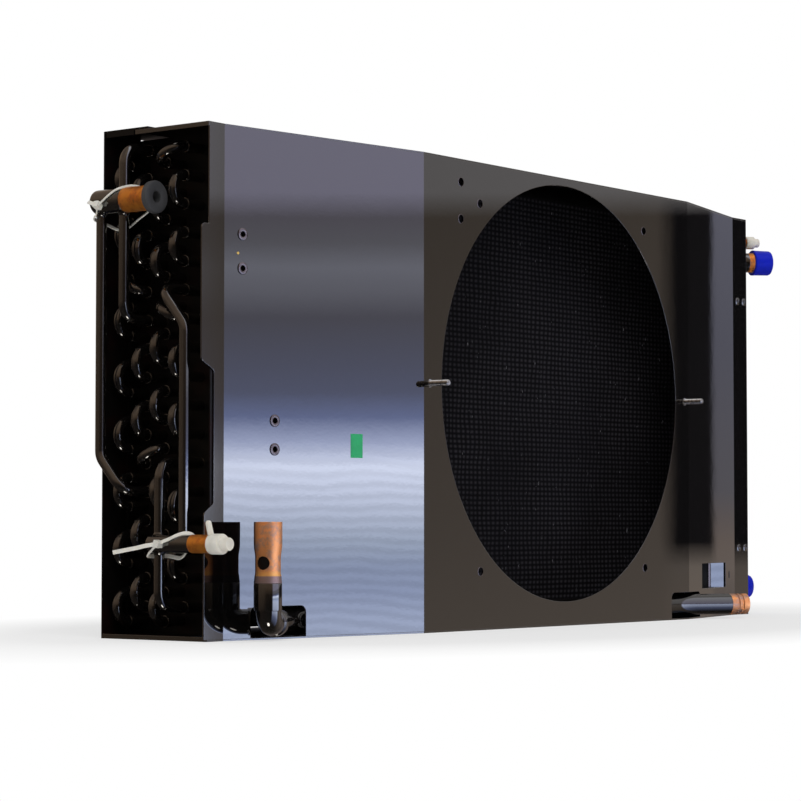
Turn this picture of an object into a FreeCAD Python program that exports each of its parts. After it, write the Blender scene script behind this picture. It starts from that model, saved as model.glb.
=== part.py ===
import FreeCAD, Part
import math
import os
import re

import Sketcher

# Condenser of a transport refrigeration unit: a coil of finned tubes between two end sheets,
# behind a folded front panel with one large fan opening.
# Millimetres. +Z is up, -Y is the front, X runs along the casing.
# The origin is on the base, under the fan's axis and at the middle of the casing's depth.

Vector = FreeCAD.Vector

SIZES = [
    ("casing_width", 920.0, "casing, left edge to right edge"),
    ("casing_depth", 125.5, "casing, front flange to back"),
    ("casing_height", 450.0, "front panel, bottom to top"),
    ("fan_aside", 40.0, "fan axis right of the casing's middle"),
    ("fan_rise", 8.0, "fan axis above the casing's middle"),
    ("opening_margin", 16.0, "half the casing's height past the fan opening's radius"),
    ("sheet_steel", 1.5, "thickness of the folded sheets"),
    ("shroud_reach", 34.5, "flat face of the panel ahead of the front flange"),
    ("strip_width", 21.0, "left flange"),
    ("right_flange", 30.0, "flat right flange"),
    ("face_left_margin", 9.5, "flat face past the left fan stud"),
    ("face_right_margin", 7.5, "flat face past the right fan stud"),
    ("top_flange_depth", 87.0, "top flange of the front panel, front to back"),
    ("lip", 4.0, "turned edge of the base and of the top"),
    ("upper_ear", 8.0, "left flange past the casing, at the upper ear"),
    ("lower_ear", 4.0, "left flange past the casing, at the lower ear"),
    ("ear_recess", 8.0, "left flange short of the casing, between the ears"),
    ("lower_ear_top", 110.6, "height of the lower ear's top"),
    ("upper_ear_bottom", 242.0, "height of the upper ear's bottom"),
    ("upper_ear_top", 361.0, "height of the upper ear's top"),
    ("ear_slant", 8.0, "height of the slanted edge beside each ear"),
    ("ear_corner", 4.0, "corner radius of the ears"),
    ("guard_inset", 80.5, "guard holes inward of the fan studs"),
    ("guard_drop", 48.0, "half the casing's height past the guard holes"),
    ("guard_hole_radius", 4.0, "guard holes"),
    ("stud_margin", 18.5, "fan studs outside the opening's edge"),
    ("stud_radius", 3.0, "fan studs, M6"),
    ("stud_reach", 22.0, "fan studs, proud of the panel"),
    ("stud_head_radius", 5.5, "fan studs, head behind the panel"),
    ("stud_head", 1.6, "fan studs, thickness of the head"),
    ("stud_collar_radius", 3.8, "fan studs, collar in the panel's hole"),
    ("stud_play", 0.15, "gap round a stud's collar in its hole"),
    ("lead_hole_inset", 49.5, "pair of extra holes inward of the left fan stud"),
    ("lead_hole_drop", 57.6, "lower one of the extra holes below the casing's top"),
    ("lead_hole_rise", 35.4, "upper extra hole above the lower one"),
    ("side_hole_radius", 3.5, "holes of the rivet nuts in the left slope"),
    ("upper_side_x", 41.6, "upper pair of rivet nuts from the left edge"),
    ("upper_side_z", 324.7, "lower one of the upper pair"),
    ("upper_side_rise", 30.0, "spacing of the upper pair"),
    ("lower_side_x", 79.2, "lower pair of rivet nuts from the left edge"),
    ("lower_side_z", 167.0, "lower one of the lower pair"),
    ("lower_side_rise", 25.3, "spacing of the lower pair"),
    ("left_notch_start", 51.9, "left notch from the left edge"),
    ("left_notch_width", 64.7, "left notch"),
    ("notch_height", 29.0, "top of both notches"),
    ("notch_corner", 6.0, "corner radius of both notches"),
    ("right_notch_lead", 35.5, "right notch's start left of the flat face's right end"),
    ("right_notch_width", 71.0, "right notch"),
    ("window_gap", 42.5, "right slope's start to the window"),
    ("window_inset", 32.5, "window to the right slope's end"),
    ("window_bottom", 32.0, "window's lower edge"),
    ("window_height", 27.0, "window"),
    ("slot_inset", 21.5, "small slot from the right slope's end"),
    ("slot_width", 3.0, "small slot"),
    ("slot_bottom", 41.6, "small slot's lower end"),
    ("slot_height", 7.3, "small slot"),
    ("tab_depth", 10.0, "window plate's turned edge behind the slope's end"),
    ("tab_turn_depth", 3.0, "window plate's face where its edge turns, behind the slope's end"),
    ("coil_plate", 2.0, "top and bottom plates of the coil"),
    ("top_plate_depth", 53.5, "top plate, front to back"),
    ("bottom_plate_depth", 88.0, "bottom plate, front to back"),
    ("end_inset", 45.0, "end sheets from the casing's ends"),
    ("front_return", 41.5, "front flange of an end sheet"),
    ("back_return", 16.0, "back flange of an end sheet"),
    ("tube_radius", 4.76, "coil tubes"),
    ("column_pitch", 22.0, "coil tubes, front to back"),
    ("lowest_tube", 15.45, "lowest tubes above the base, and highest ones below the top"),
    ("fin_margin", 6.35, "fins below the lowest tube and above the top one"),
    ("fin_pitch", 24.0, "grooves between the bundles of fins"),
    ("fin_groove", 6.0, "width of a groove"),
    ("fin_groove_depth", 4.0, "depth of a groove"),
    ("left_leg", 24.0, "straight legs of the left bends"),
    ("right_leg", 5.0, "straight legs of the right bends"),
    ("manifold_radius", 11.11, "discharge manifold, transfer line and header, 7/8 inch"),
    ("manifold_wall", 1.1, "wall of the 7/8 inch tubes"),
    ("manifold_out", 11.0, "discharge manifold outside the casing's left edge"),
    ("manifold_drop", 63.5, "discharge manifold below the casing's top"),
    ("manifold_back", 1.5, "discharge manifold's closed end from the casing's back"),
    ("manifold_length", 37.0, "discharge manifold"),
    ("manifold_chamfer", 2.5, "closed end of a manifold"),
    ("stub_length", 30.8, "copper stub of the discharge manifold"),
    ("plug_radius", 14.5, "rubber plug"),
    ("plug_thickness", 6.0, "rubber plug's flange"),
    ("plug_stem", 16.0, "rubber plug's stem"),
    ("plug_recess_radius", 5.0, "blind hole in the plug"),
    ("plug_recess", 4.0, "depth of the plug's hole"),
    ("liquid_radius", 7.94, "liquid manifold, 5/8 inch"),
    ("liquid_wall", 1.0, "wall of the 5/8 inch tubes"),
    ("liquid_out", 12.5, "liquid manifold outside the casing's left edge"),
    ("liquid_height", 84.0, "liquid manifold"),
    ("liquid_back", 70.0, "liquid manifold's closed end from the casing's back"),
    ("liquid_length", 50.0, "liquid manifold"),
    ("liquid_stub_length", 33.0, "copper stub of the liquid manifold"),
    ("cap_hold", 11.0, "length of a cap over its tube"),
    ("cap_wall", 0.85, "wall of the pale caps"),
    ("cap_end", 2.0, "closed end of a cap"),
    ("cap_play", 0.05, "gap between a cap and its tube"),
    ("cap_tip_radius", 5.7, "tip of the liquid cap"),
    ("cap_tip", 7.5, "length of the liquid cap's tip"),
    ("tab_width", 5.5, "pull tab of a cap"),
    ("tab_length", 13.0, "pull tab of a cap"),
    ("tab_thickness", 2.0, "pull tab of a cap"),
    ("liquid_tab_lean", 17.457, "pull tab of the liquid cap, from upright"),
    ("service_tab_lean", 20.423, "pull tab of the service cap, below level"),
    ("feeder_out", 8.0, "feeders and outlets outside the casing's left edge"),
    ("back_feeder_inset", 8.5, "lower feeder's drop from the casing's back"),
    ("feeder_bend", 15.0, "bends of the feeders and outlets"),
    ("feeder_slant", 31.0, "height of the slanted run of the lower feeder"),
    ("outlet_ahead", 28.5, "upper outlet's rise ahead of the front column of tubes"),
    ("outlet_slant", 34.0, "height of the slanted run of the upper outlet"),
    ("braze_gap", 0.12, "brazed joint round a tube"),
    ("line_height", 15.4, "axis of the transfer line"),
    ("line_start_x", 43.5, "transfer line's elbow from the left edge"),
    ("line_start_y", 31.4, "transfer line's elbow ahead of the front flange"),
    ("line_turn_x", 110.0, "first turn of the transfer line from the left edge"),
    ("line_turn_y", 2.0, "first turn behind the front flange"),
    ("line_exit_x", 2.0, "second turn of the transfer line right of the flat face"),
    ("line_exit_y", 21.5, "second turn ahead of the front flange"),
    ("line_exit_angle", 31.0, "direction of the transfer line's end"),
    ("line_exit_run", 59.0, "second turn to the end of the black paint"),
    ("line_end_length", 21.0, "copper end of the transfer line"),
    ("line_bend", 60.0, "bends of the transfer line"),
    ("elbow_bend", 14.1, "elbow of the transfer line"),
    ("elbow_run", 28.0, "level leg of the elbow"),
    ("elbow_cup_radius", 12.4, "cup of the elbow"),
    ("elbow_cup_top", 50.0, "height of the cup's rim"),
    ("coupling_bottom", 36.0, "height of the upright coupling's lower end"),
    ("coupling_step", 77.0, "height of the coupling's step"),
    ("coupling_top", 103.0, "height of the coupling's mouth"),
    ("coupling_hole_radius", 5.9, "cross hole of the coupling"),
    ("coupling_hole_height", 67.5, "height of the cross hole"),
    ("coupling_hole_turn", 66.0, "direction of the cross hole, from -X towards -Y"),
    ("saddle_length", 15.0, "saddles of the transfer line, along the line"),
    ("saddle_width", 26.0, "saddles of the transfer line, across the line"),
    ("saddle_play", 0.3, "gap between a saddle and the line"),
    ("ring_groove", 0.8, "depth of the ring grooves of the copper end"),
    ("ring_groove_width", 2.4, "ring grooves of the copper end"),
    ("header_out", 14.0, "right header outside the casing's right edge"),
    ("header_back", 55.0, "right header behind the front flange"),
    ("header_bend", 24.0, "elbows of the right header"),
    ("header_drop", 47.0, "upper end of the right header below the casing's top"),
    ("header_bottom", 31.0, "lower end of the right header"),
    ("header_turn", 17.4, "outward turn behind the front flange"),
    ("header_turn_angle", 53.1, "outward turn of the upper end"),
    ("header_turn_bend", 18.0, "radius of the outward turn"),
    ("upper_run", 9.5, "outward turn to the end of the black paint"),
    ("upper_copper", 6.0, "copper seen between the paint and the upper cap"),
    ("lower_cap_face", 7.1, "front of the lower blue cap behind the front flange"),
    ("blue_cap_radius", 13.5, "blue caps"),
    ("blue_cap_length", 24.0, "blue caps"),
    ("blue_cap_hold", 18.0, "length of a blue cap over its tube"),
    ("blue_cap_chamfer", 1.5, "edge of a blue cap"),
    ("service_drop", 24.0, "service tube below the casing's top"),
    ("service_bend", 12.0, "bends of the service tube"),
    ("service_run", 16.0, "service tube's outward run"),
    ("service_hold", 8.0, "length of the service cap over its tube"),
    ("service_tip_radius", 5.0, "tip of the service cap"),
    ("service_tip", 6.0, "length of the service cap's tip"),
    ("service_cap_radius", 7.2, "service cap"),
    ("service_play", 0.12, "gap between the service cap and its tube"),
    ("bracket_thickness", 3.0, "header brackets"),
    ("bracket_low", 130.0, "height of the lower bracket"),
    ("bracket_high", 310.0, "height of the upper bracket"),
    ("bracket_ring", 5.0, "width of a bracket round the header"),
    ("bracket_play", 0.3, "gap between a bracket and the header"),
    ("bracket_arm", 12.0, "width of a bracket's arm"),
    ("bracket_foot", 30.0, "height of a bracket's foot"),
    ("tie_thickness", 1.3, "cable ties"),
    ("tie_width", 3.6, "cable ties"),
    ("tie_play", 0.25, "gap between a tie and its tube"),
    ("tie_head", 6.5, "head of a cable tie"),
    ("tie_head_gap", 0.2, "head of a cable tie from the band's inside"),
    ("upper_tie_back", 31.5, "upper tie from the casing's back"),
    ("upper_tie_slant", 46.0, "slant of the upper tie"),
    ("upper_tie_tail", 34.0, "tail of the upper tie"),
    ("lower_tie_ahead", 14.5, "lower tie ahead of the front column of tubes"),
    ("lower_tie_slant", 35.0, "slant of the lower tie"),
    ("lower_tie_tail", 46.0, "tail of the lower tie"),
]

# Coil columns are numbered 1 at the back to 4 at the front, tubes 0 at the bottom to 16.
COLUMNS = 4
TUBES = 17

LEFT_UPRIGHT = {
    1: (0, 2, 4, 6, 8, 10, 13, 15),
    2: (0, 2, 6, 8, 12, 14),
    3: (0, 2, 4, 7, 9, 12, 14),
    4: (1, 3, 6, 8, 12, 14),
}
LEFT_CROSSING = [((1, 12), (2, 11)), ((2, 5), (3, 6)), ((3, 11), (4, 10)), ((3, 16), (4, 16))]
RIGHT_UPRIGHT = {
    1: (1, 3, 5, 7, 9, 11, 14),
    2: (3, 5, 7, 10),
    3: (5, 10, 13),
    4: (2, 5, 9, 11, 13, 15),
}
RIGHT_CROSSING = [
    ((1, 0), (2, 0)), ((1, 13), (2, 13)), ((1, 16), (2, 16)), ((2, 1), (3, 1)), ((2, 2), (3, 3)),
    ((2, 9), (3, 9)), ((2, 12), (3, 12)), ((2, 14), (3, 15)), ((2, 15), (3, 16)), ((3, 0), (4, 0)),
    ((3, 2), (4, 1)), ((3, 4), (4, 4)), ((3, 7), (4, 7)), ((3, 8), (4, 8)),
]
FEEDER_TUBES = {"top": (2, 16), "middle": (2, 10), "lower": (2, 4)}
OUTLET_TUBES = {"upper": (4, 11), "middle": (4, 5), "lower": (4, 0)}

# What repeats, and every tube and cap, has flat facets instead of round walls.
BEND_SIDES = 8
HAIRPIN_SIDES = 6
LEFT_BEND_CORNERS = 4
RIGHT_BEND_CORNERS = 3
PIPE_SIDES = 12
ROUND_SIDES = 16
CORNER_TURN = 23.0
# Where the window plate turns back and where the saddles stand, as shares of a length.
TAB_SHARE = 0.36
SADDLE_SHARES = (0.25, 0.75)
# Which way the loose ends of the cable ties point.
UPPER_TAIL_HEADING = Vector(-0.2, 0.3, -1)
LOWER_TAIL_HEADING = Vector(-0.7, 0.7, -0.1)

doc = FreeCAD.newDocument("Condenser")
sheet = doc.addObject("Spreadsheet::Sheet", "Sizes")
for row, (name, number, meaning) in enumerate(SIZES, start=1):
    sheet.set(f"A{row}", meaning)
    sheet.set(f"B{row}", str(number))
    sheet.setAlias(f"B{row}", name)
doc.recompute()

NAMES = {name for name, number, meaning in SIZES}
nodes = []


def size(name):
    """The value of one cell of the sheet."""
    return float(sheet.get(name))


def bound(expression):
    """An expression in the sheet's names, as the document's objects read it."""
    return re.sub(r"[a-z][a-z_]*", lambda word: f"Sizes.{word[0]}" if word[0] in NAMES else word[0],
                  expression)


# Lines that several pieces share, as expressions in the sheet's names.
LEFT = "(-casing_width / 2 - fan_aside)"
RIGHT = "(casing_width / 2 - fan_aside)"
FRONT = "(-casing_depth / 2)"
BACK = "(casing_depth / 2)"
FACE = "(-casing_depth / 2 - shroud_reach)"
FAN_HEIGHT = "(casing_height / 2 + fan_rise)"
OPENING_RADIUS = "(casing_height / 2 - opening_margin)"
STUD_PLACE = "(casing_height / 2 - opening_margin + stud_margin)"
FACE_LEFT = f"(-{STUD_PLACE} - face_left_margin)"
FACE_RIGHT = f"({STUD_PLACE} + face_right_margin)"
FLANGE_LEFT = f"({RIGHT} - right_flange)"
COIL_FLOOR = "(sheet_steel + coil_plate)"
COIL_ROOF = "(casing_height - sheet_steel)"
LEFT_SHEET = f"({LEFT} + end_inset)"
RIGHT_SHEET = f"({RIGHT} - end_inset)"
FIN_DEPTH = f"({COLUMNS} * column_pitch)"


def left_x():
    return -size("casing_width") / 2 - size("fan_aside")


def right_x():
    return size("casing_width") / 2 - size("fan_aside")


def front_y():
    return -size("casing_depth") / 2


def back_y():
    return size("casing_depth") / 2


def fan_height():
    return size("casing_height") / 2 + size("fan_rise")


def stud_place():
    return size("casing_height") / 2 - size("opening_margin") + size("stud_margin")


def right_fold():
    """Where the flat face ends and the right slope starts."""
    return stud_place() + size("face_right_margin")


def tube_pitch():
    """Height from one coil tube to the next in its column."""
    return (size("casing_height") - 2 * size("lowest_tube")) / (TUBES - 0.5)


def right_slope_back(x):
    """Back surface of the panel's right slope."""
    climb = (x - right_fold()) / (right_x() - size("right_flange") - right_fold())
    return front_y() - size("shroud_reach") * (1 - climb) + size("sheet_steel")


def new_body(name):
    body = doc.addObject("PartDesign::Body", name)
    body.Label = name
    nodes.append(body)
    return body


def new_feature(name, solids):
    """A node made of one solid or of a group of alike solids."""
    feature = doc.addObject("Part::Feature", name)
    feature.Label = name
    feature.Shape = solids[0] if len(solids) == 1 else Part.makeCompound(solids)
    nodes.append(feature)
    return feature


def sketch_on(body, role, offset="0"):
    plane = [item for item in body.Origin.OriginFeatures if item.Role == role][0]
    sketch = body.newObject("Sketcher::SketchObject", "Sketch")
    sketch.AttachmentSupport = [(plane, "")]
    sketch.MapMode = "FlatFace"
    sketch.setExpression("AttachmentOffset.Base.z", bound(offset))
    return sketch


def hold(sketch, kind, geometry, point, start, expression):
    """Ties one coordinate of a point of the sketch to an expression."""
    index = sketch.addConstraint(Sketcher.Constraint(kind, -1, 1, geometry, point, start))
    sketch.setExpression(f"Constraints[{index}]", bound(expression))


def outline(sketch, corners):
    """A closed outline of straight lines through corners given as pairs of expressions."""
    count = len(corners)
    first = sketch.GeometryCount
    ring = [Vector(math.cos(math.tau * i / count), math.sin(math.tau * i / count), 0) * 50
            for i in range(count)]
    for i in range(count):
        sketch.addGeometry(Part.LineSegment(ring[i], ring[(i + 1) % count]), False)
    for i in range(count):
        sketch.addConstraint(
            Sketcher.Constraint("Coincident", first + i, 2, first + (i + 1) % count, 1))
    for i, (across, up) in enumerate(corners):
        hold(sketch, "DistanceX", first + i, 1, ring[i].x, across)
        hold(sketch, "DistanceY", first + i, 1, ring[i].y, up)


def rectangle(sketch, low_x, low_y, high_x, high_y):
    outline(sketch, [(low_x, low_y), (high_x, low_y), (high_x, high_y), (low_x, high_y)])


def notch(sketch, low_x, low_y, high_x, high_y, corner):
    """A rectangle with two round upper corners."""
    spots = [(low_x, low_y), (high_x, low_y), (high_x, f"{high_y} - {corner}"),
             (f"{high_x} - {corner}", high_y), (f"{low_x} + {corner}", high_y),
             (low_x, f"{high_y} - {corner}")]
    start = [Vector(*spot, 0) for spot in ((0, 0), (50, 0), (50, 15), (45, 20), (5, 20), (0, 15))]
    first = sketch.GeometryCount
    for i in range(6):
        if i in (2, 4):
            middle = Vector(45 if i == 2 else 5, 15, 0)
            arc = Part.ArcOfCircle(Part.Circle(middle, Vector(0, 0, 1), 5),
                                   math.pi / 4 * (i - 2), math.pi / 4 * i)
            sketch.addGeometry(arc, False)
        else:
            sketch.addGeometry(Part.LineSegment(start[i], start[(i + 1) % 6]), False)
    for i in range(6):
        sketch.addConstraint(
            Sketcher.Constraint("Coincident", first + i, 2, first + (i + 1) % 6, 1))
    for i, (across, up) in enumerate(spots):
        hold(sketch, "DistanceX", first + i, 1, start[i].x, across)
        hold(sketch, "DistanceY", first + i, 1, start[i].y, up)
    hold(sketch, "DistanceX", first + 2, 3, 45, f"{high_x} - {corner}")
    hold(sketch, "DistanceX", first + 4, 3, 5, f"{low_x} + {corner}")


def circle(sketch, across, up, radius):
    index = sketch.addGeometry(Part.Circle(Vector(1, 1, 0), Vector(0, 0, 1), 2), False)
    hold(sketch, "DistanceX", index, 3, 1, across)
    hold(sketch, "DistanceY", index, 3, 1, up)
    span = sketch.addConstraint(Sketcher.Constraint("Radius", index, 2))
    sketch.setExpression(f"Constraints[{span}]", bound(radius))


def pad(body, sketch, length, backward=False):
    feature = body.newObject("PartDesign::Pad", "Pad")
    feature.Profile = sketch
    feature.setExpression("Length", bound(length))
    feature.Reversed = backward
    return feature


def pocket(body, sketch, depth):
    feature = body.newObject("PartDesign::Pocket", "Pocket")
    feature.Profile = sketch
    feature.setExpression("Length", bound(depth))
    return feature


def round_edges(body, base, corners, radius):
    """Rounds the edges along Y that pass through the given X and Z places."""
    doc.recompute()
    chosen = []
    for number, edge in enumerate(base.Shape.Edges, start=1):
        ends = [vertex.Point for vertex in edge.Vertexes]
        if len(ends) != 2 or abs(ends[0].y - ends[1].y) < 0.5:
            continue
        for x, z in corners:
            if all(math.hypot(end.x - x, end.z - z) < 0.01 for end in ends):
                chosen.append(f"Edge{number}")
    fillet = body.newObject("PartDesign::Fillet", "Fillet")
    fillet.Base = (base, chosen)
    fillet.setExpression("Radius", bound(radius))
    return fillet


def bend_route(points, radius, corner_turn):
    """Replaces each corner of a route by the mitre points of its bend."""
    route = [points[0]]
    for before, corner, after in zip(points, points[1:], points[2:]):
        arriving = (corner - before).normalize()
        leaving = (after - corner).normalize()
        turn = arriving.getAngle(leaving)
        steps = max(1, round(math.degrees(turn) / corner_turn))
        inward = (leaving - arriving).normalize()
        centre = corner + inward * (radius / math.cos(turn / 2))
        axis = arriving.cross(leaving)
        start = corner - arriving * (radius * math.tan(turn / 2)) - centre
        reach = 1 / math.cos(turn / steps / 2)
        for i in range(steps):
            swing = FreeCAD.Rotation(axis, math.degrees(turn) * (i + 0.5) / steps)
            route.append(centre + swing.multVec(start) * reach)
    route.append(points[-1])
    return route


def flat_sided_tube(route, radius, sides):
    """A solid tube of flat facets, mitred at every point of its route."""
    runs = [(after - before).normalize() for before, after in zip(route, route[1:])]
    across = Vector(0, 0, 1) if abs(runs[0].z) < 0.9 else Vector(1, 0, 0)
    right = runs[0].cross(across).normalize()
    up = right.cross(runs[0])
    ring = []
    for i in range(sides):
        angle = math.tau * (i + 0.5) / sides
        ring.append(route[0] + right * (radius * math.cos(angle)) + up * (radius * math.sin(angle)))
    rings = [ring]
    for i, point in enumerate(route[1:]):
        last = i == len(runs) - 1
        normal = runs[i] if last else (runs[i] + runs[i + 1]).normalize()
        ring = [corner + runs[i] * ((point - corner).dot(normal) / runs[i].dot(normal))
                for corner in ring]
        rings.append(ring)
    faces = [Part.Face(Part.makePolygon(end + end[:1])) for end in (rings[0], rings[-1])]
    for low, high in zip(rings, rings[1:]):
        for i in range(sides):
            j = (i + 1) % sides
            faces.append(Part.Face(Part.makePolygon([low[i], low[j], high[j], high[i], low[i]])))
    solid = Part.Solid(Part.Shell(faces))
    if solid.Volume < 0:
        solid.reverse()
    return solid


def turned(profile, position, direction):
    """A solid of flat facets round an axis, from a closed profile of radius and distance pairs."""
    turn = FreeCAD.Rotation(Vector(0, 0, 1), direction)
    rings = []
    for radius, distance in profile:
        angles = [math.tau * (i + 0.5) / ROUND_SIDES for i in range(ROUND_SIDES)]
        rings.append([position + turn.multVec(
            Vector(radius * math.cos(angle), radius * math.sin(angle), distance))
            for angle in angles])
    faces = []
    count = len(profile)
    for i in range(count):
        near, far = rings[i], rings[(i + 1) % count]
        near_axis, far_axis = profile[i][0] == 0, profile[(i + 1) % count][0] == 0
        if near_axis and far_axis:
            continue
        if near_axis or far_axis:
            rim = far if near_axis else near
            faces.append(Part.Face(Part.makePolygon(rim + rim[:1])))
            continue
        for j in range(ROUND_SIDES):
            k = (j + 1) % ROUND_SIDES
            faces.append(Part.Face(Part.makePolygon([near[j], near[k], far[k], far[j], near[j]])))
    solid = Part.Solid(Part.Shell(faces))
    if solid.Volume < 0:
        solid.reverse()
    return solid.removeSplitter()


def rod(radius, length, position, direction):
    return turned([(0, 0), (radius, 0), (radius, length), (0, length)], position, direction)


def pipe(points, radius, bend_radius):
    """A thick tube along straight runs joined by bends."""
    return flat_sided_tube(bend_route(points, bend_radius, CORNER_TURN), radius, ROUND_SIDES)


def tube_centre(column, number):
    """Height and depth of a coil tube."""
    stagger = 0 if column % 2 else tube_pitch() / 2
    height = size("lowest_tube") + stagger + tube_pitch() * number
    return Vector(0, back_y() - size("column_pitch") * (column - 0.5), height)


# Front panel.

def front_line():
    """The front surface of the folded panel, seen from above."""
    return [(f"{LEFT} + strip_width", FRONT), (FACE_LEFT, FACE), (FACE_RIGHT, FACE),
            (FLANGE_LEFT, FRONT), (RIGHT, FRONT)]


def front_panel():
    """The folded panel between the base and the top sheet."""
    body = new_body("front_panel")
    line = front_line()
    folds = sketch_on(body, "XY_Plane", "sheet_steel")
    outline(folds, line + [(across, f"{up} + sheet_steel") for across, up in reversed(line)])
    pad(body, folds, "casing_height - 2 * sheet_steel")
    # The left flange with its two ears.
    flange = sketch_on(body, "XZ_Plane", f"-{FRONT}")
    outline(flange, [
        (f"{LEFT} + strip_width", "sheet_steel"),
        (f"{LEFT} + strip_width", COIL_ROOF),
        (f"{LEFT} + sheet_steel", COIL_ROOF),
        (f"{LEFT} + sheet_steel", "upper_ear_top"),
        (f"{LEFT} - upper_ear", "upper_ear_top"),
        (f"{LEFT} - upper_ear", "upper_ear_bottom"),
        (f"{LEFT} + ear_recess", "upper_ear_bottom - ear_slant"),
        (f"{LEFT} + ear_recess", "lower_ear_top + ear_slant"),
        (f"{LEFT} - lower_ear", "lower_ear_top"),
        (f"{LEFT} - lower_ear", "sheet_steel"),
    ])
    pad(body, flange, "sheet_steel", backward=True)

    # Everything that is cut through the front, looking at the panel.
    cuts = sketch_on(body, "XZ_Plane", f"-{FACE} + sheet_steel")
    circle(cuts, "0", FAN_HEIGHT, OPENING_RADIUS)
    for side in ("-", ""):
        circle(cuts, f"{side}{STUD_PLACE}", FAN_HEIGHT, "stud_collar_radius + stud_play")
        for level in ("-", "+"):
            circle(cuts, f"{side}({STUD_PLACE} - guard_inset)",
                   f"{FAN_HEIGHT} {level} (casing_height / 2 - guard_drop)", "guard_hole_radius")
    for rise in ("0", "lead_hole_rise"):
        circle(cuts, f"-{STUD_PLACE} + lead_hole_inset",
               f"casing_height - lead_hole_drop + {rise}", "guard_hole_radius")
    for pair in ("upper_side", "lower_side"):
        for rise in ("0", f"{pair}_rise"):
            circle(cuts, f"{LEFT} + {pair}_x", f"{pair}_z + {rise}", "side_hole_radius")
    rectangle(cuts, f"{FACE_RIGHT} + window_gap", "window_bottom",
              f"{FLANGE_LEFT} - window_inset", "window_bottom + window_height")
    rectangle(cuts, f"{FLANGE_LEFT} - slot_inset", "slot_bottom",
              f"{FLANGE_LEFT} - slot_inset + slot_width", "slot_bottom + slot_height")
    notch(cuts, f"{LEFT} + left_notch_start", "sheet_steel",
          f"{LEFT} + left_notch_start + left_notch_width", "notch_height", "notch_corner")
    notch(cuts, f"{FACE_RIGHT} - right_notch_lead", "sheet_steel",
          f"{FACE_RIGHT} - right_notch_lead + right_notch_width", "notch_height",
          "notch_corner")
    holes = pocket(body, cuts, "shroud_reach + 4 * sheet_steel")

    upper = left_x() - size("upper_ear")
    recess = left_x() + size("ear_recess")
    ears = [(upper, size("upper_ear_top")), (upper, size("upper_ear_bottom")),
            (recess, size("upper_ear_bottom") - size("ear_slant")),
            (recess, size("lower_ear_top") + size("ear_slant")),
            (left_x() - size("lower_ear"), size("lower_ear_top"))]
    round_edges(body, holes, ears, "ear_corner")


def base_sheet():
    """The sheet below the panel and the coil, with a lip turned up at its left edge."""
    body = new_body("base_sheet")
    base = sketch_on(body, "XY_Plane")
    outline(base, front_line() + [(RIGHT, BACK), (LEFT, BACK), (LEFT, FRONT)])
    pad(body, base, "sheet_steel")
    turned_edge = sketch_on(body, "YZ_Plane", LEFT)
    rectangle(turned_edge, f"{FRONT} + sheet_steel", "0", f"{BACK} - sheet_steel", "lip")
    pad(body, turned_edge, "sheet_steel")


def top_sheet():
    """The sheet above the panel, with a lip turned down at its left edge."""
    body = new_body("top_sheet")
    back = f"{FRONT} + top_flange_depth"
    top = sketch_on(body, "XY_Plane", COIL_ROOF)
    outline(top, front_line() + [(RIGHT, back), (LEFT, back), (LEFT, FRONT)])
    pad(body, top, "sheet_steel")
    turned_edge = sketch_on(body, "YZ_Plane", LEFT)
    rectangle(turned_edge, FRONT, "casing_height - lip", back, "casing_height")
    pad(body, turned_edge, "sheet_steel")


def fan_studs():
    studs = []
    face = front_y() - size("shroud_reach")
    for side in (-1, 1):
        root = Vector(side * stud_place(), face, fan_height())
        thick = size("sheet_steel")
        shank = Part.makeCylinder(size("stud_radius"), size("stud_reach"), root,
                                  Vector(0, -1, 0))
        behind = turned([
            (0, 0), (size("stud_collar_radius"), 0), (size("stud_collar_radius"), thick),
            (size("stud_head_radius"), thick),
            (size("stud_head_radius"), thick + size("stud_head")),
            (0, thick + size("stud_head")),
        ], root, Vector(0, 1, 0))
        studs.append(shank.fuse(behind).removeSplitter().Solids[0])
    new_feature("fan_studs", studs)


def window_plate():
    """The tab behind the window: a foot on the slope's back, a face and a turned edge."""
    body = new_body("window_plate")
    thick = size("sheet_steel")
    start = right_fold() + size("window_gap")
    edge = right_x() - size("right_flange") - size("window_inset")
    foot = edge + 4 * thick
    turn = start + (edge - start) * TAB_SHARE
    line = [(foot, right_slope_back(foot)), (edge, right_slope_back(edge)),
            (turn, front_y() + size("tab_turn_depth")),
            (turn - 2 * thick, front_y() + size("tab_depth"))]
    shape = sketch_on(body, "XY_Plane", "window_bottom - sheet_steel")
    ahead = [(str(x), str(y)) for x, y in line]
    behind = [(x, f"{y} + sheet_steel") for x, y in reversed(ahead)]
    outline(shape, ahead + behind)
    pad(body, shape, "window_height + 2 * sheet_steel")


# Coil.

def top_plate():
    body = new_body("top_plate")
    plate = sketch_on(body, "XY_Plane", "casing_height")
    rectangle(plate, LEFT, f"{BACK} - top_plate_depth", RIGHT, BACK)
    pad(body, plate, "coil_plate")
    lips = sketch_on(body, "YZ_Plane", LEFT)
    rectangle(lips, f"{FRONT} + top_flange_depth + sheet_steel", "casing_height - lip",
              f"{BACK} - 2 * sheet_steel", "casing_height")
    pad(body, lips, "coil_plate")


def bottom_plate():
    body = new_body("bottom_plate")
    plate = sketch_on(body, "XY_Plane", "sheet_steel")
    rectangle(plate, f"{LEFT} + 2 * sheet_steel", f"{BACK} - sheet_steel - bottom_plate_depth",
              RIGHT, f"{BACK} - sheet_steel")
    pad(body, plate, "coil_plate")


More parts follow.
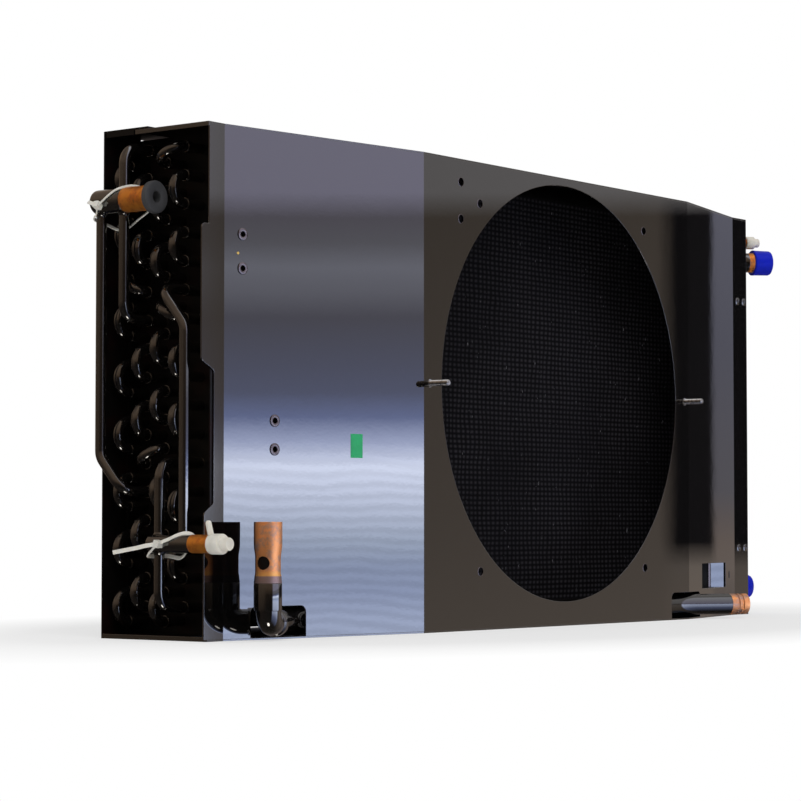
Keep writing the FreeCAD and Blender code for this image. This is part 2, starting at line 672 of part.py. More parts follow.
def end_sheet(name, web, outward):
    """A channel that carries the tubes' ends, open to the casing's end."""
    body = new_body(name)
    inner = web
    outer = f"{web} {outward} sheet_steel"
    shape = sketch_on(body, "XY_Plane", COIL_FLOOR)
    outline(shape, [
        (inner, f"{FRONT} + sheet_steel"),
        (f"{web} {outward} front_return", f"{FRONT} + sheet_steel"),
        (f"{web} {outward} front_return", f"{FRONT} + 2 * sheet_steel"),
        (outer, f"{FRONT} + 2 * sheet_steel"),
        (outer, f"{BACK} - 2 * sheet_steel"),
        (f"{web} {outward} back_return", f"{BACK} - 2 * sheet_steel"),
        (f"{web} {outward} back_return", f"{BACK} - sheet_steel"),
        (inner, f"{BACK} - sheet_steel"),
    ])
    pad(body, shape, f"{COIL_ROOF} - {COIL_FLOOR}")


def rear_strip(name, low, high):
    body = new_body(name)
    shape = sketch_on(body, "XY_Plane", "sheet_steel")
    rectangle(shape, low, f"{BACK} - sheet_steel", high, BACK)
    pad(body, shape, "casing_height - sheet_steel")


def fin_pack():
    """The fins as one block, with grooves between bundles at the front and the back."""
    body = new_body("fin_pack")
    low = f"{LEFT_SHEET} + sheet_steel"
    high = f"{RIGHT_SHEET} - sheet_steel"
    bottom = "lowest_tube - fin_margin"
    block = sketch_on(body, "XY_Plane", bottom)
    rectangle(block, low, f"{BACK} - {FIN_DEPTH}", high, BACK)
    height = "casing_height - 2 * lowest_tube + 2 * fin_margin"
    pad(body, block, height)
    width = (right_x() - left_x() - 2 * size("end_inset") - 2 * size("sheet_steel"))
    count = int(width / size("fin_pitch")) - 1
    grooves = sketch_on(body, "XY_Plane", f"{bottom} + {height}")
    start = f"({low} + (casing_width - 2 * end_inset - {count - 1} * fin_pitch) / 2 - fin_groove / 2)"
    rectangle(grooves, start, f"{BACK} - fin_groove_depth", f"{start} + fin_groove",
              f"{BACK} + fin_groove_depth")
    rectangle(grooves, start, f"{BACK} - {FIN_DEPTH} - fin_groove_depth", f"{start} + fin_groove",
              f"{BACK} - {FIN_DEPTH} + fin_groove_depth")
    cut = pocket(body, grooves, height)
    row = body.newObject("PartDesign::LinearPattern", "Grooves")
    row.Originals = [cut]
    row.Direction = (grooves, ["H_Axis"])
    row.setExpression("Length", bound(f"{count - 1} * fin_pitch"))
    row.Occurrences = count
    body.Tip = row


def bend(first, second, sheet_face, outward, leg, corners, sides):
    """One return bend between two tubes, its legs standing on an end sheet."""
    start = tube_centre(*first)
    end = tube_centre(*second)
    start.x = sheet_face
    end.x = sheet_face
    tip = Vector(outward * (leg + start.distanceToPoint(end) / 2), 0, 0)
    corner_points = [start, start + tip, end + tip, end]
    radius = start.distanceToPoint(end) / 2 - 0.001
    route = bend_route(corner_points, radius, 180 / corners)
    return flat_sided_tube(route, size("tube_radius"), sides)


def bends(name, pairs, sheet_face, outward, leg, corners, sides):
    new_feature(name, [bend(first, second, sheet_face, outward, leg, corners, sides)
                       for first, second in pairs])


def upright_pairs(columns):
    return [((column, number), (column, number + 1))
            for column, numbers in columns.items() for number in numbers]


# Discharge side.

def closed_tube(name, radius, wall, length, chamfer, mouth, direction):
    """A tube from its open mouth to its closed end."""
    bore = radius - wall
    floor = length - 2 * wall
    new_feature(name, [turned([
        (bore, 0), (radius, 0), (radius, length - chamfer), (radius - chamfer, length),
        (0, length), (0, floor), (bore, floor),
    ], mouth, direction)])


def open_tube(name, radius, wall, length, mouth, direction):
    bore = radius - wall
    new_feature(name, [turned([(bore, 0), (radius, 0), (radius, length), (bore, length)],
                              mouth, direction)])


def discharge_mouth():
    """Where the black discharge manifold ends and its copper stub starts."""
    return Vector(left_x() - size("manifold_out"),
                  back_y() - size("manifold_back") - size("manifold_length"),
                  size("casing_height") - size("manifold_drop"))


def rubber_plug():
    stem = size("manifold_radius") - size("manifold_wall") - size("cap_play")
    thick = size("plug_thickness")
    floor = thick - size("plug_recess")
    rim = discharge_mouth() - Vector(0, size("stub_length"), 0)
    new_feature("rubber_plug", [turned([
        (0, -size("plug_stem")), (stem, -size("plug_stem")), (stem, 0),
        (size("plug_radius"), 0), (size("plug_radius"), thick),
        (size("plug_recess_radius"), thick), (size("plug_recess_radius"), floor), (0, floor),
    ], rim, Vector(0, -1, 0))])


def branch(name, points, manifold):
    """A 3/8 inch tube from a manifold to the end sheet, coped round the manifold."""
    route = bend_route(points, size("feeder_bend"), CORNER_TURN)
    tube = flat_sided_tube(route, size("tube_radius"), PIPE_SIDES)
    trimmed = tube.cut(manifold)
    longest = max(trimmed.Solids, key=lambda solid: solid.Volume)
    new_feature(name, [longest])


def around(centre, radius, length):
    """The space that a manifold along Y takes up, with its brazed joint."""
    start = centre - Vector(0, length, 0)
    return Part.makeCylinder(radius + size("braze_gap"), 2 * length, start, Vector(0, 1, 0))


def sheet_end(tube):
    """The place on the left end sheet where a coil tube comes out."""
    return tube_centre(*tube) + Vector(left_x() + size("end_inset"), 0, 0)


def feeders():
    manifold = around(discharge_mouth(), size("manifold_radius"), size("manifold_length") * 2)
    line = left_x() - size("feeder_out")
    for name in ("top", "middle"):
        end = sheet_end(FEEDER_TUBES[name])
        start = Vector(line, end.y, discharge_mouth().z)
        branch(f"feeder_{name}", [start, Vector(line, end.y, end.z), end], manifold)
    end = sheet_end(FEEDER_TUBES["lower"])
    drop = Vector(left_x() - size("manifold_out"), back_y() - size("back_feeder_inset"), 0)
    branch("feeder_lower", [
        drop + Vector(0, 0, discharge_mouth().z),
        drop + Vector(0, 0, end.z + size("feeder_slant")),
        Vector(line, end.y, end.z), end,
    ], manifold)


# Liquid side.

def liquid_mouth():
    """Where the black liquid manifold ends and its copper stub starts."""
    return Vector(left_x() - size("liquid_out"),
                  back_y() - size("liquid_back") - size("liquid_length"), size("liquid_height"))


def outlets():
    manifold = around(liquid_mouth(), size("liquid_radius"), size("liquid_length") * 2)
    line = left_x() - size("feeder_out")
    for name in ("middle", "lower"):
        end = sheet_end(OUTLET_TUBES[name])
        start = Vector(line, end.y, size("liquid_height"))
        branch(f"outlet_{name}", [start, Vector(line, end.y, end.z), end], manifold)
    end = sheet_end(OUTLET_TUBES["upper"])
    rise = Vector(line, end.y - size("outlet_ahead"), 0)
    branch("outlet_upper", [
        rise + Vector(0, 0, size("liquid_height")),
        rise + Vector(0, 0, end.z - size("outlet_slant")),
        Vector(line, end.y, end.z), end,
    ], manifold)


def tipped_cap(name, bore, outside, holding, tip_radius, tip, rim, direction, tab_heading):
    """A pale push-on cap: a cup over the tube, a narrower tip and a pull tab at its rim."""
    shoulder = holding + size("cap_end")
    cup = turned([
        (bore, 0), (outside, 0), (outside, shoulder), (tip_radius, shoulder),
        (tip_radius, shoulder + tip), (0, shoulder + tip), (0, holding), (bore, holding),
    ], rim, direction)
    width = size("tab_width")
    root = (bore + outside) / 2
    tab = Part.makeBox(outside - root + size("tab_length"), width, size("tab_thickness"),
                       Vector(root, -width / 2, 0))
    turn = FreeCAD.Rotation(tab_heading, direction.cross(tab_heading), direction, "ZXY")
    tab.Placement = FreeCAD.Placement(rim, turn)
    new_feature(name, [cup.fuse(tab).removeSplitter().Solids[0]])


# Transfer line below the fan opening.

def line_points():
    """Elbow, first turn, second turn and end of the black paint of the transfer line."""
    level = size("line_height")
    elbow = Vector(left_x() + size("line_start_x"), front_y() - size("line_start_y"), level)
    turn = Vector(left_x() + size("line_turn_x"), front_y() + size("line_turn_y"), level)
    second = Vector(right_fold() + size("line_exit_x"), front_y() - size("line_exit_y"), level)
    heading = math.radians(size("line_exit_angle"))
    away = Vector(math.cos(heading), -math.sin(heading), 0)
    return elbow, turn, second, second + away * size("line_exit_run")


def transfer_line():
    elbow, turn, second, paint_end = line_points()
    heading = (turn - elbow).normalize()
    joint = elbow + heading * size("elbow_run")
    radius = size("manifold_radius")
    new_feature("transfer_pipe",
                [pipe([joint, turn, second, paint_end], radius, size("line_bend"))])

    up = Vector(0, 0, 1)
    cup_bottom = elbow + up * size("elbow_bend")
    bent = pipe([cup_bottom, elbow, joint], radius, size("elbow_bend") - 0.001)
    thick = size("elbow_cup_radius")
    cup = rod(thick, size("elbow_cup_top") - cup_bottom.z, cup_bottom, up)
    seat = elbow + up * (size("coupling_bottom") - elbow.z)
    bore = rod(radius + size("braze_gap"), size("coupling_top") - seat.z, seat, up)
    new_feature("transfer_elbow", [bent.fuse(cup).cut(bore).removeSplitter().Solids[0]])

    # The upright copper coupling, open at the top, with a hole in its side.
    step = size("coupling_step") - seat.z
    top = size("coupling_top") - seat.z
    inner = radius - size("manifold_wall")
    wall = turned([(inner, 0), (radius, 0), (radius, step), (thick, step), (thick, top),
                   (inner, top)], seat, up)
    swing = math.radians(size("coupling_hole_turn"))
    outward = Vector(-math.cos(swing), -math.sin(swing), 0)
    middle = elbow + up * (size("coupling_hole_height") - elbow.z)
    side = rod(size("coupling_hole_radius"), 2 * thick, middle, outward)
    new_feature("transfer_coupling", [wall.cut(side).removeSplitter().Solids[0]])

    # The bare copper end with two rolled rings.
    length = size("line_end_length")
    half = size("ring_groove_width") / 2
    profile = [(inner, 0), (radius, 0)]
    for share in (3, 5):
        groove = length * share / 8
        profile += [(radius, groove - half), (radius - size("ring_groove"), groove),
                    (radius, groove + half)]
    profile += [(radius, length), (inner, length)]
    new_feature("transfer_end", [turned(profile, paint_end, (paint_end - second).normalize())])


def line_saddles():
    """Two blocks on the base that carry the transfer line behind the flat face."""
    elbow, turn, second, paint_end = line_points()
    run = second - turn
    heading = math.degrees(math.atan2(run.y, run.x))
    width = size("saddle_width")
    blocks = []
    line = pipe([turn - run, second + run], size("manifold_radius") + size("saddle_play"), 1)
    for share in SADDLE_SHARES:
        spot = turn + run * share
        block = Part.makeBox(size("saddle_length"), width, spot.z - size("sheet_steel"),
                             Vector(-size("saddle_length") / 2, -width / 2, 0))
        block.Placement = FreeCAD.Placement(Vector(spot.x, spot.y, size("sheet_steel")),
                                            FreeCAD.Rotation(Vector(0, 0, 1), heading))
        blocks.append(block.cut(line).Solids[0])
    new_feature("line_saddles", blocks)


# Right header.

def header_points():
    """Lower cap seat, lower corner, upper corner, outward turn and end of the black paint."""
    line = right_x() + size("header_out")
    deep = front_y() + size("header_back")
    turned = math.radians(size("header_turn_angle"))
    away = Vector(math.sin(turned), -math.cos(turned), 0)
    mouth = Vector(line, front_y() + size("lower_cap_face") + size("blue_cap_length"),
                   size("header_bottom"))
    top = size("casing_height") - size("header_drop")
    turn = Vector(line, front_y() + size("header_turn"), top)
    return (mouth, Vector(line, deep, size("header_bottom")), Vector(line, deep, top),
            turn, turn + away * size("upper_run"), away)


def header_joint(high, turn):
    """The middle of the straight run between the upper elbow and the outward turn."""
    turned = math.radians(size("header_turn_angle"))
    spare = (high.distanceToPoint(turn) - size("header_bend")
             - size("header_turn_bend") * math.tan(turned / 2))
    return high + (turn - high).normalize() * (size("header_bend") + spare / 2)


def right_header():
    mouth, low, high, turn, paint_end, away = header_points()
    # The two elbows are wider than the outward turn, so each has its own route.
    joint = header_joint(high, turn)
    route = bend_route([mouth, low, high, joint], size("header_bend"), CORNER_TURN)
    route += bend_route([joint, turn, paint_end], size("header_turn_bend"), CORNER_TURN)[1:]
    new_feature("right_header", [flat_sided_tube(route, size("manifold_radius"), ROUND_SIDES)])


def service_stub():
    """The 3/8 inch service tube that rises from the header's upper elbow."""
    mouth, low, high, turn, paint_end, away = header_points()
    level = Vector(0, 0, size("casing_height") - size("service_drop") - high.z)
    end = turn + level + away * size("service_run")
    route = bend_route([high, high + level, turn + level, end], size("service_bend"),
                       CORNER_TURN)
    tube = flat_sided_tube(route, size("tube_radius"), PIPE_SIDES)
    grown = pipe([mouth, low, high, header_joint(high, turn)],
                 size("manifold_radius") + size("braze_gap"), size("header_bend"))
    trimmed = tube.cut(grown)
    new_feature("service_stub", [max(trimmed.Solids, key=lambda solid: solid.Volume)])
    return end, away


def blue_cap(name, rim, direction):
    bore = size("manifold_radius") + size("cap_play")
    outside = size("blue_cap_radius")
    length = size("blue_cap_length")
    edge = size("blue_cap_chamfer")
    hold = size("blue_cap_hold")
    new_feature(name, [turned([
        (bore, 0), (outside, 0), (outside, length - edge), (outside - edge, length),
        (0, length), (0, hold), (bore, hold),
    ], rim, direction)])


def header_brackets():
    """Two flat brackets from the right end sheet's front flange to the header."""
    brackets = []
    mouth, low, high, turn, paint_end, away = header_points()
    foot_y = front_y() + 2 * size("sheet_steel")
    thick = size("bracket_thickness")
    outer = size("manifold_radius") + size("bracket_play") + size("bracket_ring")
    arm_end = right_x() - size("end_inset") + size("front_return")
    arm_start = arm_end - size("bracket_arm")
    for height in (size("bracket_low"), size("bracket_high")):
        arm = Part.makeBox(size("bracket_arm"), low.y + outer / 2 - foot_y, thick,
                           Vector(arm_start, foot_y, height))
        link = Part.makeBox(low.x - arm_start, outer, thick,
                            Vector(arm_start, low.y - outer / 2, height))
        up = Vector(0, 0, 1)
        ring = rod(outer, thick, Vector(low.x, low.y, height), up)
        foot = Part.makeBox(size("bracket_arm"), thick, size("bracket_foot"),
                            Vector(arm_start, foot_y, height))
        hole = rod(size("manifold_radius") + size("bracket_play"), 3 * thick,
                   Vector(low.x, low.y, height - thick), up)
        bracket = arm.fuse([link, ring, foot]).cut(hole).removeSplitter()
        brackets.append(bracket.Solids[0])
    new_feature("header_brackets", brackets)


# Cable ties.

def cable_tie(name, centre, radius, slant, tail, tail_heading):
    """A slanting band round a tube along Y, with its head on the left and a loose tail."""
    inner = radius + size("tie_play")
    outer = inner + size("tie_thickness")
    reach = 4 * outer
    start = centre - Vector(0, reach / 2, 0)
    shell = turned([(inner, 0), (outer, 0), (outer, reach), (inner, reach)], start,
                   Vector(0, 1, 0))
    width = size("tie_width")
    slab = Part.makeBox(reach, width, reach, Vector(-reach / 2, -width / 2, -reach / 2))
    slab.Placement = FreeCAD.Placement(centre, FreeCAD.Rotation(Vector(1, 0, 0), slant))
    band = shell.common(slab)
    head_size = size("tie_head")
    head = Part.makeBox(head_size, head_size, head_size, Vector(-head_size, -head_size / 2,
                                                                -head_size / 2))
    head.Placement = FreeCAD.Placement(centre - Vector(inner + size("tie_head_gap"), 0, 0),
                                       FreeCAD.Rotation())
    strap = Part.makeBox(size("tie_thickness"), width, tail,
                         Vector(-size("tie_thickness") / 2, -width / 2, 0))
    strap.Placement = FreeCAD.Placement(centre - Vector(inner + head_size / 2, 0, 0),
                                        FreeCAD.Rotation(Vector(0, 0, 1), tail_heading))
    tie = band.fuse([head, strap]).removeSplitter()
    new_feature(name, [tie.Solids[0]])


front_panel()
base_sheet()
top_sheet()
fan_studs()
window_plate()
top_plate()
bottom_plate()
end_sheet("left_end_sheet", f"({LEFT_SHEET} + sheet_steel)", "-")
end_sheet("right_end_sheet", f"({RIGHT_SHEET} - sheet_steel)", "+")
rear_strip("left_rear_strip", LEFT, f"{LEFT_SHEET} + sheet_steel")
rear_strip("right_rear_strip", f"{RIGHT_SHEET} - sheet_steel", RIGHT)
fin_pack()

left_face = left_x() + size("end_inset")
right_face = right_x() - size("end_inset")
bends("return_bends", upright_pairs(LEFT_UPRIGHT), left_face, -1, size("left_leg"),
      LEFT_BEND_CORNERS, BEND_SIDES)
bends("crossover_bends", LEFT_CROSSING, left_face, -1, size("left_leg"), LEFT_BEND_CORNERS,
      BEND_SIDES)
bends("hairpin_bends", upright_pairs(RIGHT_UPRIGHT) + RIGHT_CROSSING, right_face, 1,
      size("right_leg"), RIGHT_BEND_CORNERS, HAIRPIN_SIDES)

mouth = discharge_mouth()
radius = size("manifold_radius")
wall = size("manifold_wall")
closed_tube("discharge_manifold", radius, wall, size("manifold_length"),
            size("manifold_chamfer"), mouth, Vector(0, 1, 0))
open_tube("discharge_stub", radius, wall, size("stub_length"), mouth, Vector(0, -1, 0))
rubber_plug()
feeders()

mouth = liquid_mouth()
closed_tube("liquid_manifold", size("liquid_radius"), size("liquid_wall"),
            size("liquid_length"), size("manifold_chamfer"), mouth, Vector(0, 1, 0))
open_tube("liquid_stub", size("liquid_radius"), size("liquid_wall"),
          size("liquid_stub_length"), mouth, Vector(0, -1, 0))
outlets()
cap_rim = mouth - Vector(0, size("liquid_stub_length") - size("cap_hold"), 0)
lean = math.radians(size("liquid_tab_lean"))
tipped_cap("liquid_cap", size("liquid_radius") + size("cap_play"),
           size("liquid_radius") + size("cap_play") + size("cap_wall"), size("cap_hold"),
           size("cap_tip_radius"), size("cap_tip"), cap_rim, Vector(0, -1, 0),
           Vector(-math.sin(lean), 0, math.cos(lean)))

transfer_line()
line_saddles()

right_header()
service_end, service_heading = service_stub()
mouth, low, high, turn, paint_end, away = header_points()
open_tube("upper_stub", radius, wall, size("upper_copper") + size("blue_cap_hold"),
          paint_end, away)
blue_cap("upper_blue_cap", paint_end + away * size("upper_copper"), away)
open_tube("lower_stub", radius, wall, size("blue_cap_hold"), mouth, Vector(0, -1, 0))
blue_cap("lower_blue_cap", mouth, Vector(0, -1, 0))
lean = math.radians(size("service_tab_lean"))
tipped_cap("service_cap", size("tube_radius") + size("service_play"),
           size("service_cap_radius"), size("service_hold"), size("service_tip_radius"),
           size("service_tip"),
           service_end - service_heading * size("service_hold"), service_heading,
           Vector(0, 0, -math.sin(lean)) + service_heading.cross(Vector(0, 0, -math.cos(lean))))
header_brackets()

cable_tie("discharge_tie",
          Vector(left_x() - size("manifold_out"), back_y() - size("upper_tie_back"),
                 discharge_mouth().z),
          size("manifold_radius"), size("upper_tie_slant"), size("upper_tie_tail"),
          UPPER_TAIL_HEADING)
cable_tie("liquid_tie",
          Vector(left_x() - size("liquid_out"),
                 sheet_end(OUTLET_TUBES["lower"]).y - size("lower_tie_ahead"),
                 size("liquid_height")),
          size("liquid_radius"), size("lower_tie_slant"), size("lower_tie_tail"),
          LOWER_TAIL_HEADING)

doc.recompute()
for item in doc.Objects:
    if "Invalid" in item.State or "Error" in item.State:
        raise RuntimeError(f"{item.Label}: {item.State}")
for node in nodes:
    if node.Shape.isNull() or not node.Shape.isValid():
        raise RuntimeError(f"{node.Label}: no valid shape")

os.makedirs("parts", exist_ok=True)
for node in nodes:
    node.Shape.exportStep(f"parts/{node.Label}.step")
    print(node.Label, len(node.Shape.Solids), round(node.Shape.Volume))
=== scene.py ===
import math

import bpy
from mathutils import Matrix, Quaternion, Vector


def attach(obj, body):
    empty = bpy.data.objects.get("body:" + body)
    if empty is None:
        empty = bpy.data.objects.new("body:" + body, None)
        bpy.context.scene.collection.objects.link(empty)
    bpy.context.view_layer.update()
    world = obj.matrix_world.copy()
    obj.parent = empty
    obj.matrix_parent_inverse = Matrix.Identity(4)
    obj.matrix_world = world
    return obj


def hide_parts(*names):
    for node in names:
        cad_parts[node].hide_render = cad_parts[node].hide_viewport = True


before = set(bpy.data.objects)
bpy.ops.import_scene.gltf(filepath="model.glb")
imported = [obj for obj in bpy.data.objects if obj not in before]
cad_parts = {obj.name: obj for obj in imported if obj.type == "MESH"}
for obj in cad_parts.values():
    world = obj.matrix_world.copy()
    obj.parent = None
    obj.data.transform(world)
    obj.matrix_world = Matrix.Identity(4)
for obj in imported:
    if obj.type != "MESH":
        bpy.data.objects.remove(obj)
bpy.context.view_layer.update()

# A transport refrigeration condenser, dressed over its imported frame.
# Sizes are in millimetres from the casing's lower left front corner, as a drawing gives them:
# X along the casing, Y towards the back, Z up. place() turns them into the frame's metres.

FAN_OFFSET = 500.0
FAN_HEIGHT = 233.0
HALF_DEPTH = 62.75
CASING_WIDTH = 920.0
CASING_HEIGHT = 450.0
CASING_DEPTH = 125.5
SHROUD_REACH = 34.5
LEFT_FOLD = 21.0
FACE_LEFT = 263.0
FACE_RIGHT = 735.0
END_SHEET = 45.0

TUBE = 4.76
BELL = 5.6
TUBE_PITCH = 25.4
COLUMN_PITCH = 22.0
LOWEST_TUBE = 15.45
THICK_TUBE = 11.11
THICK_INNER = THICK_TUBE - 1.1
LIQUID_TUBE = 7.94
LIQUID_INNER = LIQUID_TUBE - 1.0


def place(x, y, z):
    """A point of the drawing, in the frame's metres."""
    return Vector((x - FAN_OFFSET, y - HALF_DEPTH, z)) / 1000


# Materials.

# Pitch of the fins' ribs, and of the painted shade bands across the fin spacing.
RIB_PITCH = 0.00508
SPACING_SHADE_PITCH = 0.0072
# Painted shade on the coupling's copper: it starts behind this y and darkens over this fade.
PAINTED_SHADE_FROM = place(0, -28.0, 0).y
PAINTED_SHADE_FADE = 0.004
FOOT_LOW, FOOT_HIGH = 0.050, 0.060


def new_material(name):
    material = bpy.data.materials.new(name)
    material.use_nodes = True
    tree = material.node_tree
    return material, tree, tree.nodes["Principled BSDF"]


def join(tree, output, socket):
    tree.links.new(output, socket)


def settings(node, values):
    for name, value in values.items():
        node.inputs[name].default_value = value


def object_place(tree, scale=(1, 1, 1)):
    """The object's own coordinates, in metres, stretched by a scale."""
    source = tree.nodes.new("ShaderNodeTexCoord")
    mapping = tree.nodes.new("ShaderNodeMapping")
    settings(mapping, {"Scale": scale})
    join(tree, source.outputs["Object"], mapping.inputs["Vector"])
    return mapping.outputs["Vector"]


def axes(tree, vector):
    """The three parts of a vector, by name."""
    split = tree.nodes.new("ShaderNodeSeparateXYZ")
    join(tree, vector, split.inputs["Vector"])
    return split.outputs


def noise(tree, vector, scale, detail=3.0, roughness=0.5):
    texture = tree.nodes.new("ShaderNodeTexNoise")
    settings(texture, {"Scale": scale, "Detail": detail, "Roughness": roughness})
    join(tree, vector, texture.inputs["Vector"])
    return texture.outputs["Fac"]


def ramp(tree, value, stops):
    node = tree.nodes.new("ShaderNodeValToRGB")
    elements = node.color_ramp.elements
    while len(elements) < len(stops):
        elements.new(0.5)
    for element, (position, colour) in zip(elements, stops):
        element.position = position
        element.color = (*colour, 1)
    join(tree, value, node.inputs["Fac"])
    return node.outputs["Color"]


def spread(tree, value, low, high, to_low, to_high):
    node = tree.nodes.new("ShaderNodeMapRange")
    settings(node, {"From Min": low, "From Max": high, "To Min": to_low, "To Max": to_high})
    join(tree, value, node.inputs["Value"])
    return node.outputs["Result"]


def arithmetic(tree, operation, first, second=None):
    node = tree.nodes.new("ShaderNodeMath")
    node.operation = operation
    for socket, value in zip(node.inputs, (first, second)):
        if isinstance(value, (int, float)):
            socket.default_value = value
        elif value is not None:
            join(tree, value, socket)
    return node.outputs["Value"]


def blended(tree, share, first, second, blend="MIX"):
    node = tree.nodes.new("ShaderNodeMix")
    node.data_type = "RGBA"
    node.blend_type = blend
    if isinstance(share, (int, float)):
        node.inputs["Factor"].default_value = share
    else:
        join(tree, share, node.inputs["Factor"])
    join(tree, first, node.inputs["A"])
    join(tree, second, node.inputs["B"])
    return node.outputs["Result"]


def added(tree, first, second):
    return blended(tree, 1.0, first, second, "ADD")


def either_shader(tree, share, first, second):
    node = tree.nodes.new("ShaderNodeMixShader")
    for socket, output in zip(node.inputs, (share, first, second)):
        join(tree, output, socket)
    return node.outputs["Shader"]


def wave(tree, distance, pitch, drift, sway):
    """A wave from 0 to 1 along a distance in metres, shifted a little by a drift."""
    turns = arithmetic(tree, "MULTIPLY", distance, math.tau / pitch)
    shifted = arithmetic(tree, "ADD", turns, arithmetic(tree, "MULTIPLY", drift, sway))
    return spread(tree, arithmetic(tree, "SINE", shifted), -1, 1, 0, 1)


def bump(tree, shader, heights, edge=0.0):
    """Stacks bumps, each a height and its depth in metres, on edges rounded by a radius."""
    normal = None
    if edge:
        rounding = tree.nodes.new("ShaderNodeBevel")
        settings(rounding, {"Radius": edge})
        normal = rounding.outputs["Normal"]
    for height, depth in heights:
        node = tree.nodes.new("ShaderNodeBump")
        settings(node, {"Strength": 1.0, "Distance": depth})
        join(tree, height, node.inputs["Height"])
        if normal is not None:
            join(tree, normal, node.inputs["Normal"])
        normal = node.outputs["Normal"]
    join(tree, normal, shader.inputs["Normal"])


def black_paint(name, base, rough, peel, warp=0.0, coat=1.0):
    """Glossy black powder coat with orange peel, faint dust, scuffs and smudges."""
    material, tree, shader = new_material(name)
    vector = object_place(tree)
    smudge = noise(tree, vector, 14, 6, 0.6)
    dust = noise(tree, vector, 900, 2, 0.5)
    streaks = noise(tree, object_place(tree, (260, 40, 22)), 1.0, 6, 0.7)
    fleck = ramp(tree, dust, [(0.72, (0, 0, 0)), (0.80, (0.03, 0.028, 0.025))])
    scuff = ramp(tree, streaks, [(0.66, base), (0.74, (0.018, 0.018, 0.020))])
    join(tree, added(tree, fleck, scuff), shader.inputs["Base Color"])
    join(tree, spread(tree, smudge, 0.55, 0.80, rough, rough + 0.03), shader.inputs["Roughness"])
    settings(shader, {"Specular IOR Level": 1.0, "Coat Weight": coat, "Coat Roughness": 0.008,
                      "Coat IOR": 1.8})
    fine = noise(tree, vector, 420, 2)
    broad = noise(tree, vector, 60, 2)
    heights = [(broad, peel * 2.2), (fine, peel)]
    if warp:
        heights.append((noise(tree, vector, 7, 1), warp))
    bump(tree, shader, heights, edge=0.0007)
    join(tree, shader.inputs["Normal"].links[0].from_socket, shader.inputs["Coat Normal"])
    return material


def dull_paint(name, base):
    """Black paint in the casing's corners: thin, dull and dusty."""
    material, tree, shader = new_material(name)
    vector = object_place(tree)
    cloud = noise(tree, vector, 30, 5, 0.6)
    red = (base[0] * 3.2, base[1] * 0.8, base[2] * 0.7)
    join(tree, ramp(tree, cloud, [(0.5, base), (0.72, red)]), shader.inputs["Base Color"])
    join(tree, spread(tree, cloud, 0.3, 0.7, 0.35, 0.5), shader.inputs["Roughness"])
    settings(shader, {"Specular IOR Level": 0.25})
    bump(tree, shader, [(noise(tree, vector, 420, 2), 0.00002)])
    return material


def fin_paint():
    """Dull black fins, ribbed across, with a little lint, and painted shade in light and dark
    bands along the ribs and across the fin spacing.
    """
    material, tree, shader = new_material("fin_paint")
    vector = object_place(tree)
    along = axes(tree, vector)
    drift = noise(tree, vector, 26, 3)
    ribs = wave(tree, along["Z"], RIB_PITCH, drift, 0.6)
    spacing_shade = wave(tree, along["X"], SPACING_SHADE_PITCH, drift, 9.0)
    # painted shade: light and dark bands along the ribs and across the fin spacing, times a random
    # cloud, stand in for how light falls between the fins
    painted_band_shade = arithmetic(tree, "MULTIPLY", ribs, spacing_shade)
    cloud = spread(tree, noise(tree, vector, 9, 4), 0.3, 0.7, 0.55, 1.15)
    shade = arithmetic(tree, "MULTIPLY", painted_band_shade, cloud)
    painted_fin_shade = ramp(tree, shade, [(0.0, (0.006, 0.0055, 0.007)), (1.0, (0.070, 0.066, 0.076))])
    lint = noise(tree, object_place(tree, (1, 1, 0.4)), 330, 2, 0.5)
    specks = ramp(tree, lint, [(0.72, (0, 0, 0)), (0.76, (0.22, 0.22, 0.24))])
    join(tree, added(tree, painted_fin_shade, specks), shader.inputs["Base Color"])
    settings(shader, {"Roughness": 0.6, "Specular IOR Level": 0.15})
    bump(tree, shader, [(ribs, 0.0002)])
    return material


def bare_copper(name, bright, dark, stain, rough, metallic, shaded_behind=None):
    """Tarnished copper, mottled by brazing heat.

    The coupling's has painted shade behind a given y, darkening its back, and has a bright rim
    over its grey foot.
    """
    material, tree, shader = new_material(name)
    vector = object_place(tree)
    patch = noise(tree, vector, 95, 5, 0.65)
    colour = ramp(tree, patch, [(0.28, stain), (0.42, dark), (0.55, bright), (0.80, bright)])
    if shaded_behind is not None:
        along = axes(tree, vector)
        # painted shade: the copper turns dark behind a given y, standing in for the shade on the
        # coupling's back that faces the panel
        behind = spread(tree, along["Y"], shaded_behind, shaded_behind + PAINTED_SHADE_FADE, 0, 1)
        painted_shade = ramp(tree, behind, [(0, (1, 1, 1)), (1, (0.06, 0.035, 0.04))])
        foot = spread(tree, along["Z"], FOOT_LOW, FOOT_HIGH, 0, 1)
        rim = ramp(tree, foot, [(0.58, (0.30, 0.23, 0.24)), (0.66, (1.0, 0.52, 0.16))])
        low = spread(tree, along["Z"], FOOT_HIGH - 0.001, FOOT_HIGH + 0.001, 0.9, 0)
        colour = blended(tree, low, colour, rim)
        colour = blended(tree, 1.0, colour, painted_shade, "MULTIPLY")
    join(tree, colour, shader.inputs["Base Color"])
    settings(shader, {"Metallic": metallic})
    fine = noise(tree, vector, 500, 4, 0.6)
    join(tree, spread(tree, fine, 0.3, 0.7, rough, rough + 0.2), shader.inputs["Roughness"])
    bump(tree, shader, [(fine, 0.00004)])
    return material


